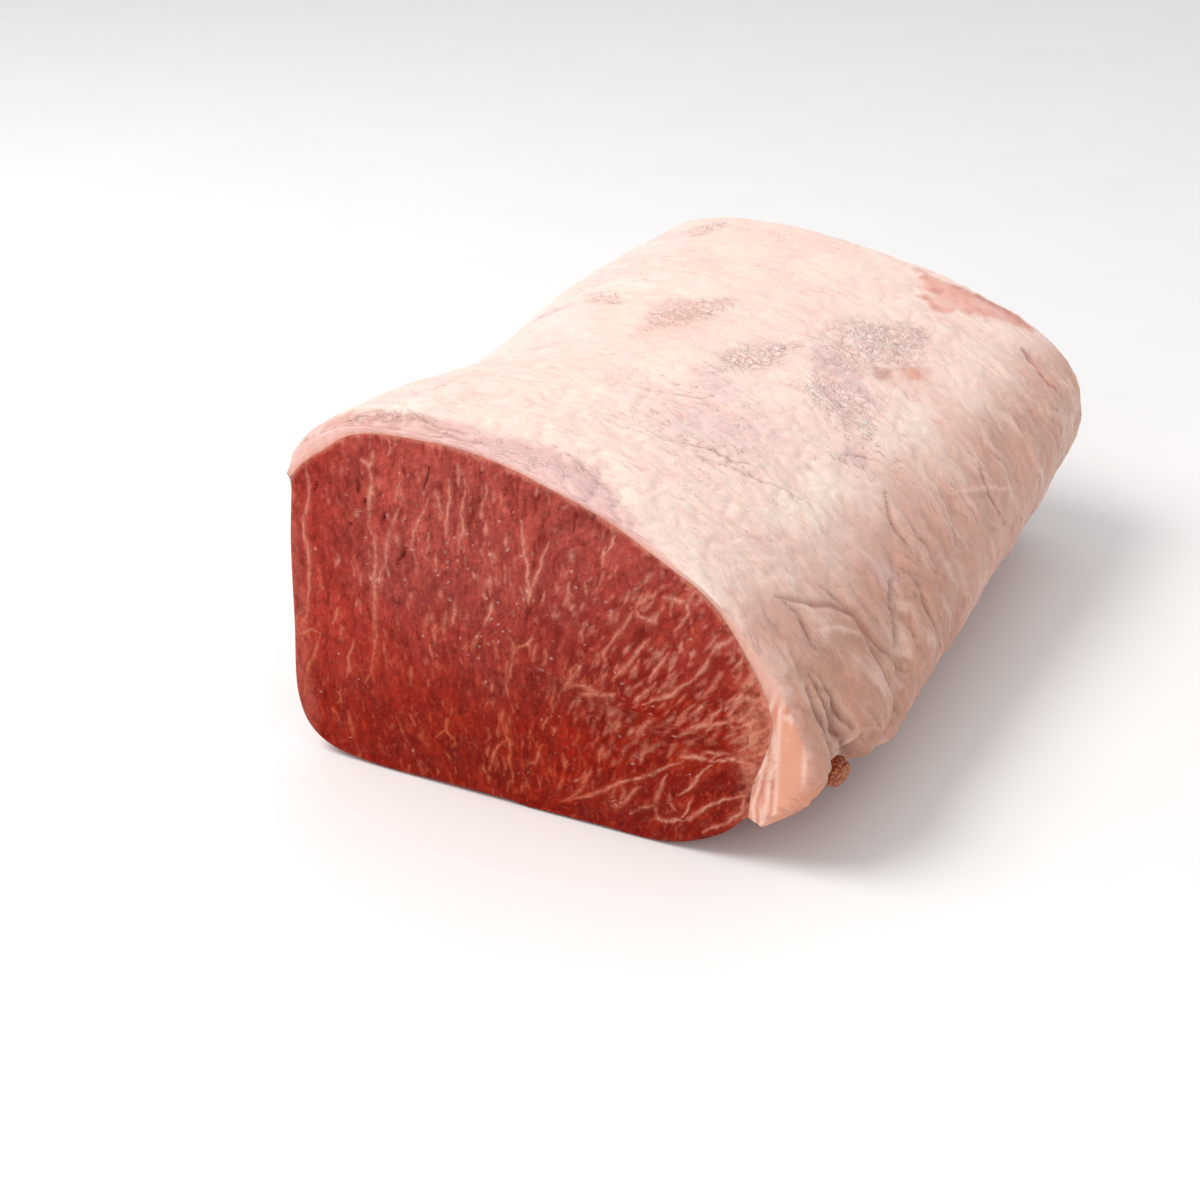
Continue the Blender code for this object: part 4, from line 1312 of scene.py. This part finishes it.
def cut_fat_colour(w, z, depth, cloud, front):
    """The colour of the fat's cut faces: pale, with layered tissue and a peach panel in the front lobe."""
    at = flat(w, z)
    ragged = layered(at, (1.5, 4.4, 1.0), 61)
    shreds = layered(at, (0.8, 2.6, 1.0), 62)
    side = ease((w - 62.0) / 24.0)
    near_lean = 0.34 * ease(depth / 0.6) + 0.40 * ease((depth - 0.6) / 0.4)
    near_lean = near_lean * np.clip(1.0 + 0.7 * shreds, 0.0, 1.3)
    colour = layers_over(
        plain(FAT_BAND, len(w)), (FAT_ROSY, 0.4 + 0.6 * ragged), (CUT_LIP, side * (0.80 + 0.3 * ragged)),
        (TISSUE, near_lean * (1.0 - 0.2 * side)),
    )
    top = LOBE_TOP - 0.12 * np.clip(np.abs(w - 99.0) - 3.0, 0.0, None) ** 2
    wavy = w - 0.10 * (z - 20.0) + 0.5 * ragged
    tissue_top = front * ease((w - 88.5) / 2.5) * ease((LOBE_TOP + 6.0 - z) / 6.0)
    layers = 0.5 + 0.5 * np.sin(3.6 * wavy + 1.4 * ragged)
    gaps = ease((ragged - 0.10) / 0.35) * ease((z - 12.0) / 6.0) * ease((30.0 - z) / 6.0)
    tissue = layers_over(
        plain(TISSUE, len(w)), (PALE_LIP, 0.75 * layers + 0.25 * shreds),
        (TISSUE_RED, 0.62 * gaps * (1.0 - 0.7 * layers)),
    )
    lobe = ease((w - PANEL_FROM + 0.04 * (z - 15.0) + 0.4 * cloud) / 0.5) * ease((top - z) / 1.8) * front
    panel = mix(plain(PEACH, len(w)), PEACH_DEEP, 0.75 * ease((w - PANEL_TO - 0.3) / 0.8))
    rims = hump(w, PANEL_FROM + 0.1, 0.35) * ease((top - z) / 2.0) + hump(w, PANEL_TO, 0.45) * lobe
    rims = rims + hump(z, top, 0.55) * ease((w - PANEL_FROM) / 1.0)
    return layers_over(colour, (tissue, tissue_top), (panel, lobe), (PALE_LIP, 0.65 * rims * front))


def paint_fat(obj, l, s, depth):
    """Colour and relief of the fat at l, s mm along its line, and depth inside its outer sheet."""
    at = np.stack([l, s, 5.0 * depth], axis=1)
    cloud, ragged = layered(at, 17.0, 31), layered(at, 3.4, 32)
    wander = np.stack([layered(at, 6.0, 38), layered(at, 6.0, 39)], axis=1)
    spot = np.stack([l, s], axis=1) + 0.9 * wander
    fine_spot = np.stack([l, s], axis=1) + 0.45 * wander
    bent = at + np.stack([3.0 * wander[:, 0], 3.0 * wander[:, 1], np.zeros_like(l)], axis=1)
    flank = ease((s - 104.0) / 26.0)
    mottle = (1.0 - flank) * layered(bent, (5.0, 6.5, 5.0), 43) + flank * layered(bent, (3.6, 15.0, 5.0), 44)
    valleys = (1.0 - np.abs(noise(bent, (4.4, 6.0, 4.0), 45))) ** 5 * (1.0 - flank)
    valleys += (1.0 - np.abs(noise(bent, (5.0, 19.0, 5.0), 46))) ** 5 * flank
    fade = 0.7 + 0.5 * noise(at, (1.5, 3.0, 2.0), 40)
    folds = {kind: strokes(fine_spot, widened(items, times)) for kind, times, items in FOLD_KINDS}
    folds["small"] = strokes(spot, [*small_creases(*TOP_CREASES), *small_creases(*FLANK_CREASES)])
    for kind in ("rosy", "small"):
        folds[kind] = folds[kind] * fade
    colour, marked = fat_colour(l, s, (spot, cloud, ragged, mottle, folds))
    w, _, z = places(obj).T
    at_cut = ease(depth / 0.14) * (np.minimum(l, LENGTH - l) < 0.5)
    marked = marked * (1.0 - at_cut)[:, None]
    cut = cut_fat_colour(w, z, depth, cloud, l < 0.5 * LENGTH)
    lip = ease((s - 174.0) / 5.0) + ease((5.0 - s) / 5.0)
    orange = ease((s - 150.0) / 12.0) * ease((6.5 - l) / 3.0) * (1.0 - at_cut)
    colour = layers_over(
        colour, (cut, at_cut), (PALE_LIP, 0.5 * lip * (1.0 - at_cut)), (PEACH_DEEP, 0.65 * orange),
    )
    outer = 1.0 - ease(depth / 0.25)
    wrinkles = (1.0 - np.abs(noise(at + 1.5 * ragged[:, None], (1.9, 5.0, 2.0), 41))) ** 4
    height = 0.35 * noise(at, (11.0, 15.0, 9.0), 35) - 0.15
    calm = 1.0 - 0.55 * ease((l - 45.0) / 30.0) * ease((96.0 - s) / 24.0)
    height += outer * calm * (0.32 * mottle - (0.42 + 0.18 * flank) * valleys)
    height -= outer * 0.30 * marked[:, 0] * wrinkles
    for kind, rise in FOLD_RISE.items():
        height += outer * rise * folds[kind]
    dented = ease((s - DENT_START) / 9.0) * (1.0 - 0.6 * ease((s - DENT_END) / 14.0)) * (1.0 - depth)
    dented = dented * hump(l, DENT_AT, DENT_HALF)
    push_out(obj, height * np.where(depth > 0.99, 0.0, 1.0), DENT_DEPTH * dented)
    grain = np.stack([s + 4.0 * noise(at, 12.0, 36), l + 3.0 * noise(at, 16.0, 37), 3.0 * depth], axis=1)
    paint(obj, colour, marked=marked, grain=grain)


# The kernel

def gland():
    body = bmesh.new()
    bmesh.ops.create_icosphere(body, subdivisions=6, radius=1.0)
    w, l, z = GLAND_CENTRE
    centre = to_world(l, np.array([[w, z]]))[0]
    unit = np.array([vert.co[:] for vert in body.verts])
    lumps = 0.30 * noise(unit * 3.0, 1.8, 51) + 0.16 * noise(unit * 3.0, 0.7, 52)
    points = centre + unit * (np.array(GLAND_RADII) + lumps[:, None]) * MM
    for vert, point in zip(body.verts, points):
        vert.co = point
    mesh = bpy.data.meshes.new("gland_kernel")
    body.to_mesh(mesh)
    body.free()
    mesh.shade_smooth()
    finish_piece(placed("gland_kernel", mesh), "gland")


# Floor, light and camera

FLOOR_SIZE, FLOOR_DROP = 6.0, 0.0002
SKY_COLOUR, SKY_STRENGTH = (1.0, 0.992, 0.985, 1.0), 0.74

# Each lamp's name, place, the point it faces, its size, its power in watts and its colour
LAMPS = (
    ("key", (-0.45, -0.35, 0.85), (0.0, -0.02, 0.03), 0.55, 6.2, (1.0, 0.975, 0.945)),
    ("front", (0.0, -1.0, 0.45), (0.0, 0.0, 0.03), 0.3, 0.8, (1.0, 0.96, 0.92)),
)


def floor():
    bpy.ops.mesh.primitive_plane_add(size=FLOOR_SIZE, location=(0.0, 0.0, -FLOOR_DROP))
    plane = bpy.context.object
    plane.name = "floor"
    nodes = Nodes("floor")
    speckle = nodes.noise(nodes.place(), 0.02, 2.0)
    tint = nodes.mix(speckle, grey(0.86), grey(0.90))
    nodes.fill(nodes.shader, {"Base Color": tint, "Roughness": 0.7})
    plane.data.materials.append(nodes.material)


def lamp(name, place, aim, size, watts, colour):
    light = bpy.data.lights.new(name, "AREA")
    light.shape, light.size, light.energy, light.color = "DISK", size, watts, colour
    obj = placed(name, light)
    obj.location = place
    direction = np.array(aim) - np.array(place)
    obj.rotation_euler = (np.arccos(-direction[2] / np.linalg.norm(direction)), 0.0,
                          np.arctan2(direction[0], -direction[1]) + np.pi)


def studio():
    bpy.context.scene.view_settings.view_transform = "Standard"
    world = bpy.data.worlds.new("studio")
    world.use_nodes = True
    sky = world.node_tree.nodes["Background"].inputs
    sky["Color"].default_value, sky["Strength"].default_value = SKY_COLOUR, SKY_STRENGTH
    bpy.context.scene.world = world
    for row in LAMPS:
        lamp(*row)


CAMERA_LENS, CAMERA_SENSOR = 52.47, 36.0
CAMERA_PLACE = (0.13266, -0.31083, 0.180)
CAMERA_DOWN, CAMERA_TURN = 27.23, 27.87


def camera():
    lens = bpy.data.cameras.new("view")
    lens.lens, lens.sensor_width, lens.clip_start = CAMERA_LENS, CAMERA_SENSOR, 0.01
    obj = placed("view", lens)
    obj.location = CAMERA_PLACE
    obj.rotation_euler = np.radians((90.0 - CAMERA_DOWN, 0.0, CAMERA_TURN))
    bpy.context.scene.camera = obj


camera()
studio()
floor()
MATERIALS = {"fat": fat_material(), "lean": lean_material(), "gland": gland_material()}
MATERIALS["dark_lean"] = MATERIALS["lean"]
fat_cap()
for muscle in SIDE_STATIONS:
    muscle_side(muscle)
    for end in (0.0, LENGTH):
        cut_face(muscle, end)
gland()
